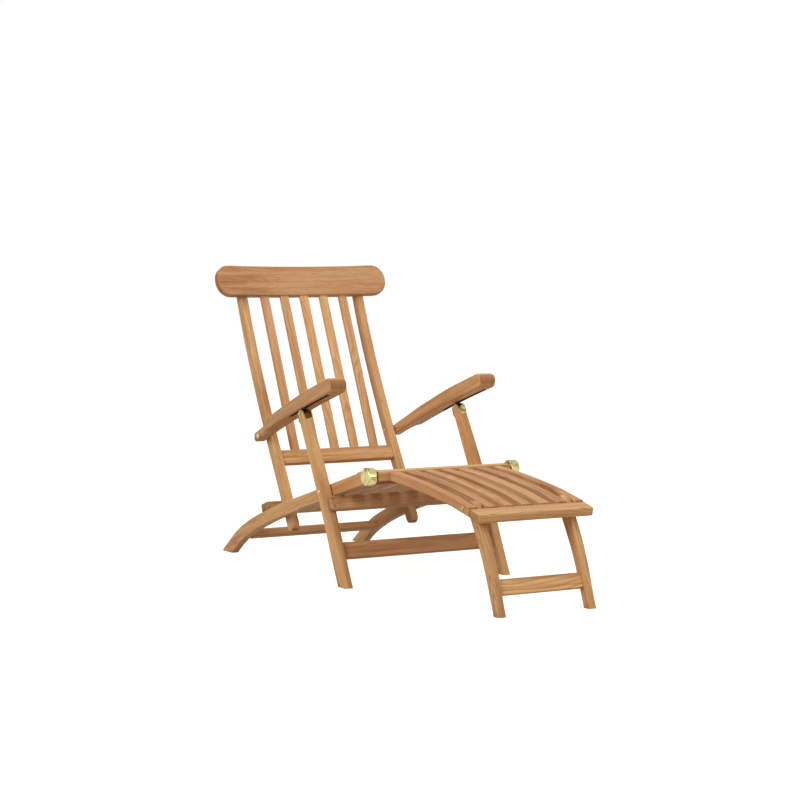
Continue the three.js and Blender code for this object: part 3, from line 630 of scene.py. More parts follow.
def bolt_tree() -> Tree:
    """Builds the tree that sets bolts on points: a domed head, a shaft and a collar, square to the side.

    Returns:
        The geometry tree. Its own geometry is a loose point under each head, and the sign of a
        point's Y turns its bolt outwards.
    """
    labels = ("Head Radius", "Dome", "Shaft Radius", "Shaft Length", "Collar Radius", "Collar Depth")
    tree, given = new_geometry_tree("bolts", *labels, "Collar Length")
    ball = tree.out("GeometryNodeMeshUVSphere", {"Segments": ROUND_SIDES, "Rings": DOME_RINGS, "Radius": 1.0})
    where = tree.parts(tree.out("GeometryNodeInputPosition"))
    wide = [tree.math("MULTIPLY", where[axis], given["Head Radius"]) for axis in range(2)]
    high = tree.math("MULTIPLY", tree.math("MAXIMUM", where[2], 0.0), given["Dome"])
    dome = tree.out("GeometryNodeSetPosition", {"Geometry": ball, "Position": tree.whole(*wide, high)})

    def rod(radius: Socket, length: Socket, top: Any) -> Socket:
        """Adds a rod along the bolt.

        Args:
            radius: The rod's radius.
            length: Its length.
            top: How deep under the head it starts.

        Returns:
            The socket with the rod.
        """
        size = {"Vertices": ROUND_SIDES, "Radius": radius, "Depth": length}
        sunk = tree.math("MULTIPLY", tree.math("ADD", tree.math("MULTIPLY", length, 0.5), top), -1.0)
        bar = tree.out("GeometryNodeMeshCylinder", size)
        return tree.out("GeometryNodeTransform", {"Geometry": bar, "Translation": tree.whole(0.0, 0.0, sunk)})

    shaft = rod(given["Shaft Radius"], given["Shaft Length"], 0.0)
    collar = rod(given["Collar Radius"], given["Collar Length"], given["Collar Depth"])
    join = tree.add("GeometryNodeJoinGeometry")
    for part in (dome, shaft, collar):
        tree.tree.links.new(part, join.inputs[0])
    at = tree.parts(tree.out("GeometryNodeInputPosition"))
    outwards = tree.whole(0.0, tree.math("SIGN", at[1]))
    placed = tree.out("GeometryNodeInstanceOnPoints", {
        "Points": tree.out("GeometryNodeMeshToPoints", {"Mesh": given["Geometry"]}),
        "Instance": join.outputs[0],
        "Rotation": tree.out("FunctionNodeAlignRotationToVector", {"Vector": outwards}, axis="Z"),
    })
    return close_geometry_tree(tree, placed, given["Finish"])


def plug_tree() -> Tree:
    """Builds the tree that sets round wooden plugs on points of a sloping face.

    Returns:
        The geometry tree. Its own geometry is a loose point at the middle of each plug.
    """
    tree, given = new_geometry_tree("plugs", "Radius", "Depth", "Slope", "Tone")
    size = {"Vertices": PLUG_SIDES, "Radius": given["Radius"], "Depth": given["Depth"]}
    plug = tree.out("GeometryNodeMeshCylinder", size)
    placed = tree.out("GeometryNodeInstanceOnPoints", {
        "Points": tree.out("GeometryNodeMeshToPoints", {"Mesh": given["Geometry"]}),
        "Instance": tree.store(plug, "grain", tree.out("GeometryNodeInputPosition"), "FLOAT_VECTOR"),
        "Rotation": tree.whole(0.0, given["Slope"]),
    })
    toned = tree.store(placed, "tone", given["Tone"], "FLOAT", "INSTANCE")
    return close_geometry_tree(tree, toned, given["Finish"])


@dataclass(frozen=True)
class Workshop:
    """What all the sub-assemblies share: the finishes, the trees, and the ways to make a piece."""

    finishes: dict[Slot, Material]
    slats: Tree
    bolts: Tree
    plugs: Tree

    @classmethod
    def opened(cls) -> "Workshop":
        """Builds the finishes and the trees."""
        finishes = {
            Slot.TEAK: Teak().material(), Slot.BRASS: Brass().material(), Slot.STEEL: BlackSteel().material(),
        }
        return cls(finishes, slat_tree(), bolt_tree(), plug_tree())

    def join(self, label: Label, *meshes: Mesh) -> None:
        """Makes one piece of meshes.

        Args:
            label: What the piece is.
            meshes: The meshes that it is made of.
        """
        work = bmesh.new()
        for mesh in meshes:
            work.from_mesh(mesh)
        piece = new_object(label.name, mesh_of(work))
        piece.data.materials.append(self.finishes[label.slot])
        finished(piece, label)

    def grow(self, label: Label, tree: Tree, points: Sequence[Vector], sizes: dict[str, Any]) -> None:
        """Makes one piece by a geometry tree, whose result is kept as plain mesh.

        Args:
            label: What the piece is.
            tree: The geometry tree.
            points: The points of a slat's path, or where the copies go.
            sizes: The tree's inputs by name, which are set by their identifiers.
        """
        mesh = bpy.data.meshes.new(label.name)
        edges = [(i, i + 1) for i in range(len(points) - 1)] if tree is self.slats else []
        mesh.from_pydata([tuple(point) for point in points], edges, [])
        piece = new_object(label.name, mesh)
        modifier = piece.modifiers.new(tree.name, "NODES")
        modifier.node_group = tree
        inputs = sizes | {"Finish": self.finishes[label.slot]}
        for item in tree.interface.items_tree:
            if item.item_type == "SOCKET" and item.in_out == "INPUT" and item.name in inputs:
                modifier[item.identifier] = inputs[item.name]
        baked(piece)
        finished(piece, label)


def plate(outline: Iterable[Sequence[float]], through: Sequence[float]) -> MeshWork:
    """Starts mesh work with a flat plate.

    Args:
        outline: The corners of one face in order.
        through: The way from that face to the other.

    Returns:
        The mesh work.
    """
    work = bmesh.new()
    face = work.faces.new([work.verts.new(corner) for corner in outline])
    pushed = bmesh.ops.extrude_face_region(work, geom=[face])["geom"]
    far = [item for item in pushed if isinstance(item, bmesh.types.BMVert)]
    bmesh.ops.translate(work, verts=far, vec=through)
    bmesh.ops.recalc_face_normals(work, faces=work.faces)
    return work


def upright(outline: Iterable[Vector], y: float, wall: float) -> Mesh:
    """Makes a plate that stands along the chair, from its outline in the side view and its lower Y."""
    return mesh_of(plate([(point.x, y, point.z) for point in outline], (0.0, wall, 0.0)))


def turned(profile: Sequence[Pair], centre: Vector, sides: int) -> Mesh:
    """Turns a closed round on a line across the chair.

    Args:
        profile: Pairs of a radius and a place along Y, from one pole to the other.
        centre: A point of the turning line.
        sides: How many sides the round has.

    Returns:
        The mesh.
    """
    work = bmesh.new()
    chain = [work.verts.new((radius, y, 0.0)) for radius, y in profile]
    edges = [work.edges.new(pair) for pair in zip(chain, chain[1:])]
    turn = {"cent": (0, 0, 0), "axis": (0, 1, 0), "angle": math.tau, "steps": sides}
    bmesh.ops.spin(work, geom=chain + edges, use_merge=True, **turn)
    bmesh.ops.remove_doubles(work, verts=work.verts, dist=WELD_REACH / 2)
    bmesh.ops.recalc_face_normals(work, faces=work.faces)
    bmesh.ops.translate(work, verts=work.verts, vec=centre)
    return mesh_of(work)


def smooth_path(points: Sequence[Vector], steps: int = 6) -> list[Vector]:
    """Runs a smooth curve through points.

    Args:
        points: The points that it passes.
        steps: How many pieces each stretch gets.

    Returns:
        The curve's own points.
    """
    ends = [points[0], *points, points[-1]]
    path = []
    for before, start, stop, after in zip(ends, ends[1:], ends[2:], ends[3:]):
        bend = 2 * before - 5 * start + 4 * stop - after
        twist = 3 * start - 3 * stop + after - before
        for step in range(steps):
            t = step / steps
            path.append(0.5 * (2 * start + (stop - before) * t + bend * t**2 + twist * t**3))
    return [*path, points[-1].copy()]


def sideways(path: Sequence[Vector], shift: float) -> list[Vector]:
    """Moves a path in the chair's middle plane to its own side.

    Args:
        path: The path's points.
        shift: How far it moves, to the left of its way seen with Z up and X to the right.

    Returns:
        The moved points.
    """
    moved = []
    for before, here, after in zip([path[0], *path], path, [*path[1:], path[-1]]):
        way = (after - before).normalized()
        moved.append(here + Vector((-way.z, 0.0, way.x)) * shift)
    return moved


def arc(radius: float, step: int) -> list[Pair]:
    """Points of a quarter circle, a number of degrees apart, as pairs of cosine and sine."""
    angles = [math.radians(degrees) for degrees in range(0, 91, step)]
    return [(radius * math.cos(angle), radius * math.sin(angle)) for angle in angles]


def pivot(joint: str) -> Vector:
    """A joint's place at rest."""
    return Vector(next(j for j in frame["joints"] if j["name"] == joint)["pos_m"])


@dataclass(frozen=True)
class Board:
    """One piece of timber, cut as its CAD solid is, with its own stretch of the log.

    Growth is how far it reaches past the solid across and through its grain, on each side, and bow
    is how far it bends forwards between its ends.
    """

    node: str
    tone: float
    growth: Pair = (0.0, 0.0)
    bow: float = 0.0
    bow_steps: int = 10
    end_facing: float = 0.8

    def build(self, body: str, shop: Workshop) -> None:
        """Cuts the board, marks its grain and hangs it on its body.

        Args:
            body: The CAD body that it moves with.
            shop: The finishes and trees.
        """
        mesh = solid(self.node)
        ways = self.ways(corners_of(mesh))
        if any(self.growth) or self.bow:
            self.reshape(mesh, ways)
        corners = corners_of(mesh)
        dice = random.Random(self.node)
        centre = (corners.max(0) + corners.min(0)) / 2
        put_attribute(mesh, "grain", "FLOAT_VECTOR", "POINT", (corners - centre) @ ways.T)
        shift = np.array([dice.uniform(-LOG_REACH, LOG_REACH) for _ in range(3)])
        put_attribute(mesh, "shift", "FLOAT_VECTOR", "POINT", np.tile(shift, (len(corners), 1)))
        put_attribute(mesh, "tone", "FLOAT", "POINT", np.full(len(corners), self.tone))
        sawn = np.array([abs(np.dot(face.normal, ways[0])) > self.end_facing for face in mesh.polygons])
        put_attribute(mesh, "end", "FLOAT", "FACE", sawn)
        shop.join(Label(f"{self.node}_timber", body, Slot.TEAK, [self.node]), mesh)

    def ways(self, corners: np.ndarray) -> np.ndarray:
        """Finds the board's own directions: along its grain, across it and through it.

        Args:
            corners: The board's corners.

        Returns:
            The three unit vectors as rows.
        """
        spans = corners.max(0) - corners.min(0)
        side_view = corners[:, [0, 2]] - corners[:, [0, 2]].mean(0)
        _, _, axes = np.linalg.svd(side_view, full_matrices=False)
        longer, shorter = [np.array([axis[0], 0.0, axis[1]]) for axis in axes]
        crossways = np.array([0.0, 1.0, 0.0])
        if spans[1] > max(spans[0], spans[2]):
            return np.array([crossways, longer, shorter])
        return np.array([longer, shorter, crossways])

    def reshape(self, mesh: Mesh, ways: np.ndarray) -> None:
        """Gives the board its growth and its bow.

        Args:
            mesh: The board's mesh.
            ways: The board's own directions.
        """
        corners = corners_of(mesh)
        middle = (corners.max(0) + corners.min(0)) / 2
        reach = np.abs((corners - middle) @ ways.T).max(0)
        work = bmesh.new()
        work.from_mesh(mesh)
        for step in range(1, self.bow_steps if self.bow else 0):
            cut = middle + ways[0] * reach[0] * (2 * step / self.bow_steps - 1)
            everything = [*work.verts, *work.edges, *work.faces]
            bmesh.ops.bisect_plane(work, geom=everything, plane_co=cut, plane_no=ways[0])
        ahead = ways[1] * math.copysign(1.0, ways[1][0])
        for vert in work.verts:
            along, across, through = ways @ (np.array(vert.co) - middle) / reach
            wider = ways[1] * across * self.growth[0] + ways[2] * through * self.growth[1]
            vert.co += Vector(ahead * self.bow * (1 - along**2) ** 2 + wider)
        work.to_mesh(mesh)
        work.free()


@dataclass(frozen=True)
class SlatRow:
    """A row of equal slats, with the sizes of one and the lightness of all and of the middle ones."""

    name: str
    node: str
    count: int
    seed: int
    tone: float = 0.0
    middle_lift: float = 0.0
    thickness: float = 12 * MM
    ease: float = 2.5 * MM
    narrower: float = 0.0
    tone_spread: float = 0.35
    leaning_back: bool = False
    rounds: int = 8

    @property
    def nodes(self) -> list[str]:
        """The CAD nodes of the slats, from the sitter's right to the left."""
        return [f"{self.node}_{i + 1}" for i in range(self.count)]

    def straight(self) -> list[Vector]:
        """Finds the two ends of a straight slat's middle line from its box.

        Returns:
            The lower and the upper end, in the chair's middle plane.
        """
        low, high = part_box(self.nodes[0])
        run, rise, thick = high.x - low.x, high.z - low.z, self.thickness
        slope = math.atan2(rise, run)
        for _ in range(self.rounds):
            slope = math.atan2(rise - thick * math.cos(slope), run - thick * math.sin(slope))
        length = (run - thick * math.sin(slope)) / math.cos(slope)
        middle = Vector(((low.x + high.x) / 2, 0.0, (low.z + high.z) / 2))
        ahead = -1.0 if self.leaning_back else 1.0
        way = Vector((ahead * math.cos(slope), 0.0, math.sin(slope)))
        return [middle - way * length / 2, middle + way * length / 2]

    def lay(self, path: Sequence[Vector], body: str, shop: Workshop) -> None:
        """Lays the row, each slat along the path as its middle line, and hangs it on its body."""
        first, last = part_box(self.nodes[0]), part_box(self.nodes[-1])
        shop.grow(Label(self.name, body, Slot.TEAK, self.nodes), shop.slats, path, {
            "Count": self.count, "Pitch": (last[0].y - first[0].y) / (self.count - 1), "Seed": self.seed,
            "Width": first[1].y - first[0].y - self.narrower, "Thickness": self.thickness, "Ease": self.ease,
            "Tone": self.tone, "Tone Spread": self.tone_spread, "Middle Lift": self.middle_lift,
        })


@dataclass(frozen=True)
class SubAssembly:
    """A part of the chair that is built with the workshop's means."""

    shop: Workshop


@dataclass(frozen=True)
class SlattedFrame(SubAssembly):
    """A frame of boards with one row of straight slats."""

    body: str
    boards: tuple[Board, ...]
    row: SlatRow

    def build(self) -> None:
        """Builds the frame and its slats."""
        for board in self.boards:
            board.build(self.body, self.shop)
        self.row.lay(self.row.straight(), self.body, self.shop)


@dataclass(frozen=True)
class SeatFrame(SlattedFrame):
    """The seat rails, their cross pieces and the seat slats."""

    body: str = "seat_frame"
    # Tones are partly each board's own colour and partly painted light and shade, lighter or darker as light
    # falls on each board.
    boards: tuple[Board, ...] = (
        Board("seat_rail_right", 0.34),
        Board("seat_rail_left", 0.1),
        Board("seat_cross_bar", -0.1),
        Board("rear_stretcher", -0.1, growth=(0.0, 5 * MM)),
        Board("seat_front_rail", 0.3),
    )
    row: SlatRow = SlatRow("seat_slats", "seat_slat", 7, seed=4)


@dataclass(frozen=True)
class BackFrame(SlattedFrame):
    """The stiles, the head rail, the lower rail and the back slats."""

    body: str = "back"
    # Tones are partly each board's own colour and partly painted light and shade; the head rail's dark tone
    # is painted shade on its brightly lit front.
    boards: tuple[Board, ...] = (
        Board("stile_right", 0.3),
        Board("stile_left", 0.3),
        Board("head_rail", -0.68, growth=(3 * MM, 0.0)),
        Board("back_lower_rail", 0.25),
    )
    row: SlatRow = SlatRow("back_slats", "back_slat", 5, seed=11, tone=0.1,
                           middle_lift=0.5, leaning_back=True)


@dataclass(frozen=True)
class Armrests(SubAssembly):
    """The two curved armrests with the steel racks in their slots."""

    # Tones are partly each arm's own colour and partly painted light and shade; the right arm's dark tone is
    # painted shade on its side that turns down.
    tones: tuple[tuple[Side, float], ...] = ((Side.RIGHT, -0.65), (Side.LEFT, 0.2))
    channel_depth: float = 13.4 * MM
    channel_wall: float = 0.8 * MM

    def build(self) -> None:
        """Builds both armrests."""
        for side, tone in self.tones:
            node = f"armrest_{side.label}"
            Board(node, tone).build(node, self.shop)
            self.rack(f"arm_rack_{side.label}", node)

    def rack(self, node: str, body: str) -> None:
        """Dresses a rack as the folded channel that lines its slot: the notched bar and two thin walls.

        Args:
            node: The CAD node of the rack.
            body: The body that it moves with.
        """
        bar = solid(node)
        low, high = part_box(node)
        top = self.top_edge(corners_of(bar))
        outline = [*top, *reversed(sideways(top, -self.channel_depth))]
        walls = [upright(outline, y, self.channel_wall) for y in (low.y, high.y - self.channel_wall)]
        self.shop.join(Label(f"{node}_metal", body, Slot.STEEL, [node]), bar, *walls)

    def top_edge(self, corners: np.ndarray) -> list[Vector]:
        """Finds the rack's upper edge in its side view.

        Args:
            corners: The corners of the rack's mesh.

        Returns:
            The edge's points from the rear to the front, in the chair's middle plane.
        """
        upper: dict[int, float] = {}
        for x, _, z in corners:
            step = round(x / MM)
            upper[step] = max(upper.get(step, z), z)
        chain: list[Vector] = []
        for step, z in sorted(upper.items()):
            here = Vector((step * MM, 0.0, z))
            while len(chain) > 1 and self.sags(*chain[-2:], here):
                chain.pop()
            chain.append(here)
        return chain

    def sags(self, before: Vector, point: Vector, after: Vector) -> bool:
        """Whether a point lies under the line from the one before to the one after."""
        return (point.z - before.z) * (after.x - before.x) < (after.z - before.z) * (point.x - before.x)


@dataclass(frozen=True)
class LegFrame(SubAssembly):
    """The front legs with their apron and stretcher, brass caps and steel latches."""

    # Tones are partly each board's own colour and partly painted light and shade: the apron's dark tone is
    # painted shade under the seat, the legs' light tones painted light on their front faces.
    boards: tuple[Board, ...] = (
        Board("front_leg_right", 0.55),
        Board("front_leg_left", 0.95),
        Board("apron", -0.6),
        Board("front_stretcher", -0.5),
    )
    plug_radius: float = 3.8 * MM
    plug_depth: float = 2.2 * MM
    plug_sunk: float = 0.6 * MM
    plug_spacing: float = 22 * MM
    plug_tone: float = -2.2
    front_facing: float = 0.5
    flange_wall: float = 1.2 * MM
    flange_rise: float = 0.3 * MM
    flange_turn: int = 66
    flange_step: int = 6
    rivet_radius: float = 4.2 * MM
    rivet_dome: float = 2.2 * MM
    rivet_rise: float = 0.1 * MM
    round_depth: float = 9 * MM
    straight_part: Pair = (60 * MM, 160 * MM)
    body: str = "front_legs"

    def build(self) -> None:
        """Builds the leg frame."""
        for board in self.boards:
            board.build(self.body, self.shop)
        rivets = []
        for side in Side:
            rivets.append(self.cap(side))
            tongue = f"latch_tongue_{side.label}"
            self.shop.join(Label(f"{tongue}_metal", self.body, Slot.STEEL, [tongue]), solid(tongue))
        self.set_plugs()
        self.shop.grow(Label("latch_rivets", self.body, Slot.BRASS), self.shop.bolts, rivets, {
            "Head Radius": self.rivet_radius, "Dome": self.rivet_dome,
            "Shaft Radius": self.rivet_radius / 2, "Shaft Length": self.flange_wall,
            "Collar Radius": self.rivet_radius / 4, "Collar Depth": 0.0,
            "Collar Length": self.flange_wall / 2,
        })

    def cap(self, side: Side) -> Vector:
        """Dresses one brass cap: the CAD strap, and thin flanges folded down the leg's two sides.

        Args:
            side: The side of the chair.

        Returns:
            Where the rivet through the leg's top goes, on its outer side.
        """
        node, leg = f"latch_cap_{side.label}", f"front_leg_{side.label}"
        centre, radius, up = self.round_top(corners_of(frame["nodes"][leg].data))
        low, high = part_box(leg)
        arm = up * (radius + self.flange_rise)
        rim = [Matrix.Rotation(math.radians(turn), 3, "Y") @ arm + centre
               for turn in range(-self.flange_turn, self.flange_turn + 1, self.flange_step)]
        flanges = [upright(rim, y, self.flange_wall) for y in (low.y - self.flange_wall, high.y)]
        self.shop.join(Label(f"{node}_metal", self.body, Slot.BRASS, [node]), solid(node), *flanges)
        outer = high.y if side is Side.LEFT else low.y
        return Vector((centre.x, outer + self.rivet_rise * side.value, centre.z))

    def round_top(self, corners: np.ndarray) -> tuple[Vector, float, Vector]:
        """Finds the round of a leg's top by least squares.

        Args:
            corners: The corners of the leg's mesh.

        Returns:
            The round's centre in the middle plane, its radius, and the leg's upward way there.
        """
        depth = corners[:, 2].max() - corners[:, 2]
        near = corners[depth < self.round_depth]
        sums = np.column_stack([2 * near[:, 0], 2 * near[:, 2], np.ones(len(near))])
        x, z, rest = np.linalg.lstsq(sums, near[:, 0] ** 2 + near[:, 2] ** 2, rcond=None)[0]
        below = corners[(depth > self.straight_part[0]) & (depth < self.straight_part[1])].mean(0)
        up = Vector((x - below[0], 0.0, z - below[2])).normalized()
        return Vector((x, 0.0, z)), math.sqrt(rest + x * x + z * z), up

    def set_plugs(self) -> None:
        """Sets the plugs that hide the apron's screws, two over each leg."""
        faces = frame["nodes"]["apron"].data.polygons
        broadest = max(faces, key=lambda face: face.area if face.normal.x > self.front_facing else 0.0)
        out = broadest.normal.copy()
        up = Vector((-out.z, 0.0, out.x))
        low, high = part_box("apron")
        centre = (low + high) / 2
        reach = (broadest.center - centre).dot(out) - self.plug_sunk - self.plug_depth / 2
        leg_low, leg_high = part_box("front_leg_left")
        middle = Vector((centre.x, 0.0, centre.z)) + out * reach
        points = []
        for side in Side:
            across = Vector((0.0, side.value * (leg_low.y + leg_high.y) / 2, 0.0))
            points += [middle + across + up * row * self.plug_spacing / 2 for row in (-1, 1)]
        self.shop.grow(Label("apron_plugs", self.body, Slot.TEAK), self.shop.plugs, points, {
            "Radius": self.plug_radius, "Depth": self.plug_depth,
            "Slope": math.atan2(out.x, out.z), "Tone": self.plug_tone,
        })


@dataclass(frozen=True)
class Footrest(SubAssembly):
    """The slatted footrest and its own folding legs."""

    # Tones are partly each board's own colour and partly painted light and shade.
    boards: tuple[Board, ...] = (
        Board("footrest_bar", 0.1),
        Board("footrest_rail_right", -0.1),
        Board("footrest_rail_left", 0.0),
        Board("footrest_end_rail", 0.0),
    )
    # The left leg's and the stretcher's light tones are partly painted light on their front faces.
    leg_boards: tuple[Board, ...] = (
        Board("footrest_leg_right", -0.15, bow=6 * MM),
        Board("footrest_leg_left", 0.65, bow=6 * MM),
        Board("footrest_stretcher", 0.9, growth=(2 * MM, 0.0)),
    )
    # The slats' dark tone is partly painted shade, as in the gaps between them.
    row: SlatRow = SlatRow("footrest_slats", "footrest_slat", 5, seed=23, tone=-0.62,
                           thickness=20 * MM, ease=2 * MM, narrower=4.5 * MM)
    rail_depth: float = 27.5 * MM
    run: float = 490 * MM
    drop: float = 67 * MM
    bar_rise: float = 1.5 * MM
    curve_shares: tuple[Pair, ...] = (
        (0.0, 0.0), (0.284, 0.148), (0.514, 0.34), (0.739, 0.57), (0.847, 0.733), (0.945, 0.88), (1.0, 0.96),
    )
    end_margin: float = 1 * MM
    end_gap: float = 2 * MM
    body: str = "footrest"
    leg_body: str = "footrest_legs"

    def build(self) -> None:
        """Builds the footrest and its legs."""
        for body, boards in ((self.body, self.boards), (self.leg_body, self.leg_boards)):
            for board in boards:
                board.build(body, self.shop)
        self.row.lay(self.path(), self.body, self.shop)

    def path(self) -> list[Vector]:
        """The middle line of one slat, bent as the side rails are and cut at the slat's ends.

        Returns:
            The line's points in the chair's middle plane.
        """
        hinge = pivot("footrest_fold")
        top = Vector((hinge.x, 0.0, hinge.z + self.bar_rise))
        full_drop = self.drop + self.bar_rise
        line = [top + Vector((run * self.run, 0.0, -drop * full_drop)) for run, drop in self.curve_shares]
        middle = sideways(smooth_path(line), (self.rail_depth - self.row.thickness) / 2)
        low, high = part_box(self.row.nodes[0])
        margin = self.end_margin
        first, *_, last = [i for i, p in enumerate(middle) if low.x + margin < p.x < high.x - margin]
        start = self.cut_at(middle[first - 1], middle[first], low.x)
        stop = self.cut_at(middle[last], middle[last + 1], high.x - self.end_gap)
        return [start, *middle[first:last + 1], stop]

    def cut_at(self, before: Vector, after: Vector, x: float) -> Vector:
        """The point of the line through two others at a given X."""
        return before.lerp(after, (x - before.x) / (after.x - before.x))


class BoltKind(Enum):
    """The kinds of bolt: the node, the body, whether it has a head, its collar's depth and length."""

    LEG = ("leg_bolt", "front_legs", True, 26.35 * MM, 2.8 * MM)
    BACK = ("back_bolt", "back_bolts", False, 19.35 * MM, 2.3 * MM)
    FOOTREST = ("footrest_bolt", "footrest_legs", True, 26.35 * MM, 2.8 * MM)
    ARM = ("arm_bolt", "arm_bolt_{side}", True, 31.35 * MM, 2.8 * MM)


@dataclass(frozen=True)
class BrassWork(SubAssembly):
    """The turned brass: bolts with domed heads, and the two knees that the footrest hangs on."""

    head_radius: float = 7.5 * MM
    dome: float = 3.6 * MM
    blunt: float = 0.2 * MM
    shaft_radius: float = 4 * MM
    collar_radius: float = 9 * MM
    knee_radius: float = 26 * MM
    knee_round: float = 5 * MM
    knee_gap: float = 1.8 * MM
    knee_step: int = 15
    knee_sides: int = 64
    strap_lengths: Pair = (56 * MM, 34 * MM)
    strap_width: float = 22 * MM
    strap_half: float = 1 * MM
    strap_gap: float = 0.35 * MM
    strap_tip: float = 6 * MM
    strap_step: int = 18
    strap_ease: float = 0.6 * MM
    seat_slope: float = math.radians(15.6)
    rail_depth: float = 38 * MM
    spigot_radius: float = 8 * MM

    def build(self) -> None:
        """Builds the bolts and the knees."""
        for kind in BoltKind:
            node, body = kind.value[:2]
            pairs = [(f"{node}_{side.label}", body.format(side=side.label)) for side in Side]
            for place in dict.fromkeys(place for _, place in pairs):
                self.bolt_set(kind, [name for name, where in pairs if where == place], place)
        for side in Side:
            self.knee(side)

    def bolt_set(self, kind: BoltKind, nodes: Sequence[str], body: str) -> None:
        """Sets the bolts that stand for some CAD nodes.

        Args:
            kind: The kind of bolt.
            nodes: The nodes that it replaces.
            body: The body that it rides on.
        """
        _, _, headed, collar_depth, collar_length = kind.value
        dome = self.dome if headed else self.blunt
        points = []
        for node in nodes:
            low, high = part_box(node)
            inner, outer = sorted((low.y, high.y), key=abs)
            foot = outer - math.copysign(dome, outer)
            points.append(Vector(((low.x + high.x) / 2, foot, (low.z + high.z) / 2)))
            length = abs(outer - inner) - dome
        collared = high.x - low.x > 2 * self.head_radius + MM
        label = Label("_and_".join(nodes) + "_turned", body, Slot.BRASS, nodes)
        self.shop.grow(label, self.shop.bolts, points, {
            "Head Radius": self.head_radius if headed else self.shaft_radius, "Dome": dome,
            "Shaft Radius": self.shaft_radius, "Shaft Length": length,
            "Collar Radius": self.collar_radius if collared else self.shaft_radius / 2,
            "Collar Depth": collar_depth, "Collar Length": collar_length,
        })

    def knee(self, side: Side) -> None:
        """Builds one knee: a rounded barrel on the hinge line, with straps along the rail and a spigot.

        Args:
            side: The side of the chair.
        """
        node, sign = f"knee_{side.label}", side.value
        hinge = pivot("footrest_fold")
        spigot_end, outer = sorted((corner.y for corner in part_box(node)), key=lambda y: y * sign)
        inner = sign * (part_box("seat_rail_left")[0].y - self.knee_gap)
        soft, crisp = self.knee_round, self.knee_round / 2
        inner_face = [(self.knee_radius - soft + up, inner + sign * (soft - back))
                      for back, up in arc(soft, self.knee_step)]
        outer_face = [(self.knee_radius - crisp + out, outer - sign * (crisp - back))
                      for out, back in arc(crisp, self.knee_step)]
        spigot = [(0.0, spigot_end), (self.spigot_radius, spigot_end), (self.spigot_radius, inner)]
        profile = [*spigot, *inner_face, *outer_face, (0.0, outer)]
        barrel = turned(profile, Vector((hinge.x, 0.0, hinge.z)), self.knee_sides)
        along = Vector((math.cos(self.seat_slope), 0.0, math.sin(self.seat_slope)))
        up = Vector((-along.z, 0.0, along.x)) * (self.rail_depth / 2 + self.strap_gap + self.strap_half)
        centre = Vector((hinge.x, (outer + inner) / 2, hinge.z))
        straps = [self.strap(length, centre - along * length / 2 + up * way)
                  for length, way in zip(self.strap_lengths, (1, -1))]
        self.shop.join(Label(f"{node}_turned", "seat_frame", Slot.BRASS, [node]), barrel, *straps)

    def strap(self, length: float, middle: Vector) -> Mesh:
        """Makes one strap: a thin plate with soft edges and a rounded tip, in line with the rail.

        Args:
            length: How far it runs back from the hinge line.
            middle: The plate's middle.

        Returns:
            The strap's mesh.
        """
        half, tip = self.strap_width / 2, self.strap_tip
        rear = [(-length / 2 + tip - back, half - tip + out) for out, back in arc(tip, self.strap_step)]
        outline = [(length / 2, half), *rear, *[(x, -y) for x, y in reversed(rear)], (length / 2, -half)]
        work = plate([(x, y, -self.strap_half) for x, y in outline], (0.0, 0.0, 2 * self.strap_half))
        rim = [edge for edge in work.edges if all(vert.co.z > 0 for vert in edge.verts)]
        bmesh.ops.bevel(work, geom=rim, offset=self.strap_ease, segments=2, affect="EDGES")
        bmesh.ops.recalc_face_normals(work, faces=work.faces)
        place = Matrix.Translation(middle) @ Matrix.Rotation(-self.seat_slope, 4, "Y")
        bmesh.ops.transform(work, verts=work.verts, matrix=place)
        return mesh_of(work)


@dataclass(frozen=True)
class Lamp:
    """One soft square lamp aimed at the chair."""

    name: str
    at: Triple
    size: float
    power: float
    aim: Triple = (0.0, 0.0, 0.4)

    def build(self) -> None:
        """Hangs the lamp."""
        data = bpy.data.lights.new(self.name, "AREA")
        data.energy = self.power
        data.size = self.size
        lamp = new_object(self.name, data)
        lamp.location = self.at
        lamp.rotation_euler = (Vector(self.aim) - Vector(self.at)).to_track_quat("-Z", "Y").to_euler()


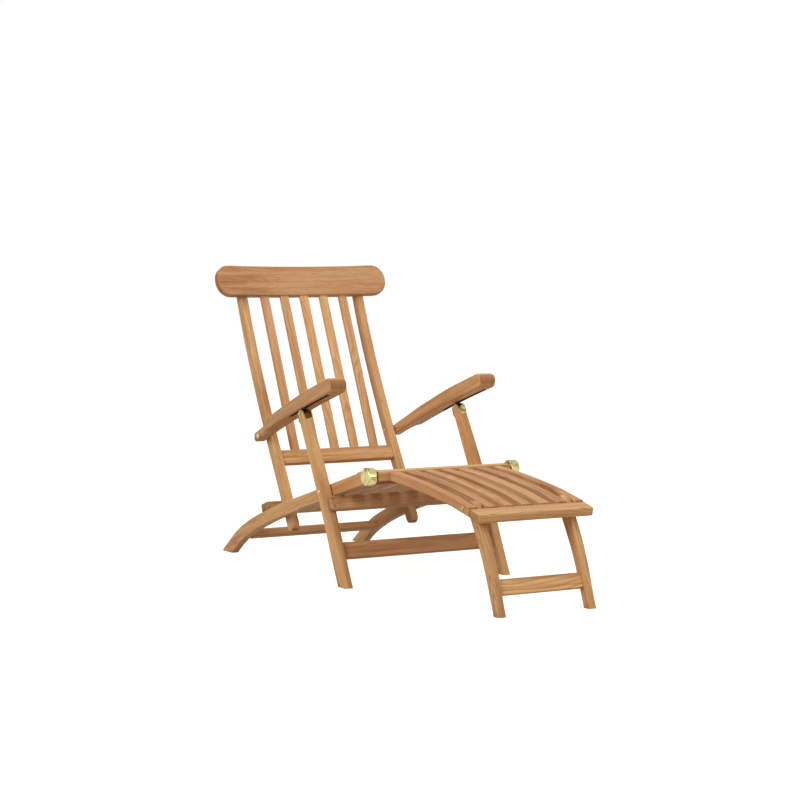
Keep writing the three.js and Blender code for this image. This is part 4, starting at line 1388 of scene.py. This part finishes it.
@dataclass(frozen=True)
class Studio:
    """A white studio: a pale floor, an even sky and soft lamps."""

    floor_half: float = 14.0
    sky: float = 0.49
    sky_tint: Colour = (1.0, 0.96, 0.9)
    lamps: tuple[Lamp, ...] = (
        Lamp("key lamp", (1.7, -4.2, 2.9), 2.4, 128.0),
        Lamp("front lamp", (4.4, 1.0, 1.5), 2.4, 38.0),
        Lamp("top lamp", (-0.5, 0.3, 3.4), 0.9, 34.0),
    )

    def build(self) -> None:
        """Lays the floor, lights the sky and hangs the lamps."""
        mesh = bpy.data.meshes.new("floor")
        half = self.floor_half
        corners = [(-half, -half, 0), (half, -half, 0), (half, half, 0), (-half, half, 0)]
        mesh.from_pydata(corners, [], [(0, 1, 2, 3)])
        mesh.materials.append(PaleFloor().material())
        new_object("floor", mesh)
        for lamp in self.lamps:
            lamp.build()
        self.light_sky()
        bpy.context.scene.view_settings.view_transform = "Standard"

    def light_sky(self) -> None:
        """Makes the sky white to the eye and in mirrors, and softer and warmer as a lamp."""
        world = bpy.data.worlds.new("studio")
        world.use_nodes = True
        bpy.context.scene.world = world
        tree = Wiring(world.node_tree)
        seen = tree.seen()
        strength = tree.math("MULTIPLY_ADD", seen, 1.0 - self.sky, self.sky)
        tint = tree.mix(seen, self.sky_tint, WHITE)
        light = tree.out("ShaderNodeBackground", {"Color": tint, "Strength": strength})
        tree.add("ShaderNodeOutputWorld", {"Surface": light})


@dataclass(frozen=True)
class PhotoCamera:
    """The camera at the photograph's angle, with its distance and lens as they were solved."""

    at: Triple = (5.5324, -3.145, 0.970)
    turn: float = math.radians(60.55)
    pitch: float = math.radians(86.11)
    focal_pixels: float = 2099.0
    image_pixels: float = 800.0
    sensor: float = 36.0
    farthest: float = 60.0

    def build(self) -> None:
        """Sets up the camera and makes it the scene's own."""
        data = bpy.data.cameras.new("photo camera")
        data.sensor_width = self.sensor
        data.lens = self.focal_pixels / self.image_pixels * self.sensor
        data.clip_end = self.farthest
        camera = new_object("photo camera", data)
        camera.location = self.at
        camera.rotation_euler = Euler((self.pitch, 0.0, self.turn))
        bpy.context.scene.camera = camera


def main() -> None:
    """Builds the camera, the studio and the chair, piece by piece."""
    logging.basicConfig(level=logging.INFO, format="%(name)s: %(message)s")
    PhotoCamera().build()
    Studio().build()
    shop = Workshop.opened()
    for part in (SeatFrame, BackFrame, Armrests, LegFrame, Footrest, BrassWork):
        part(shop).build()


if __name__ == "__main__":
    main()
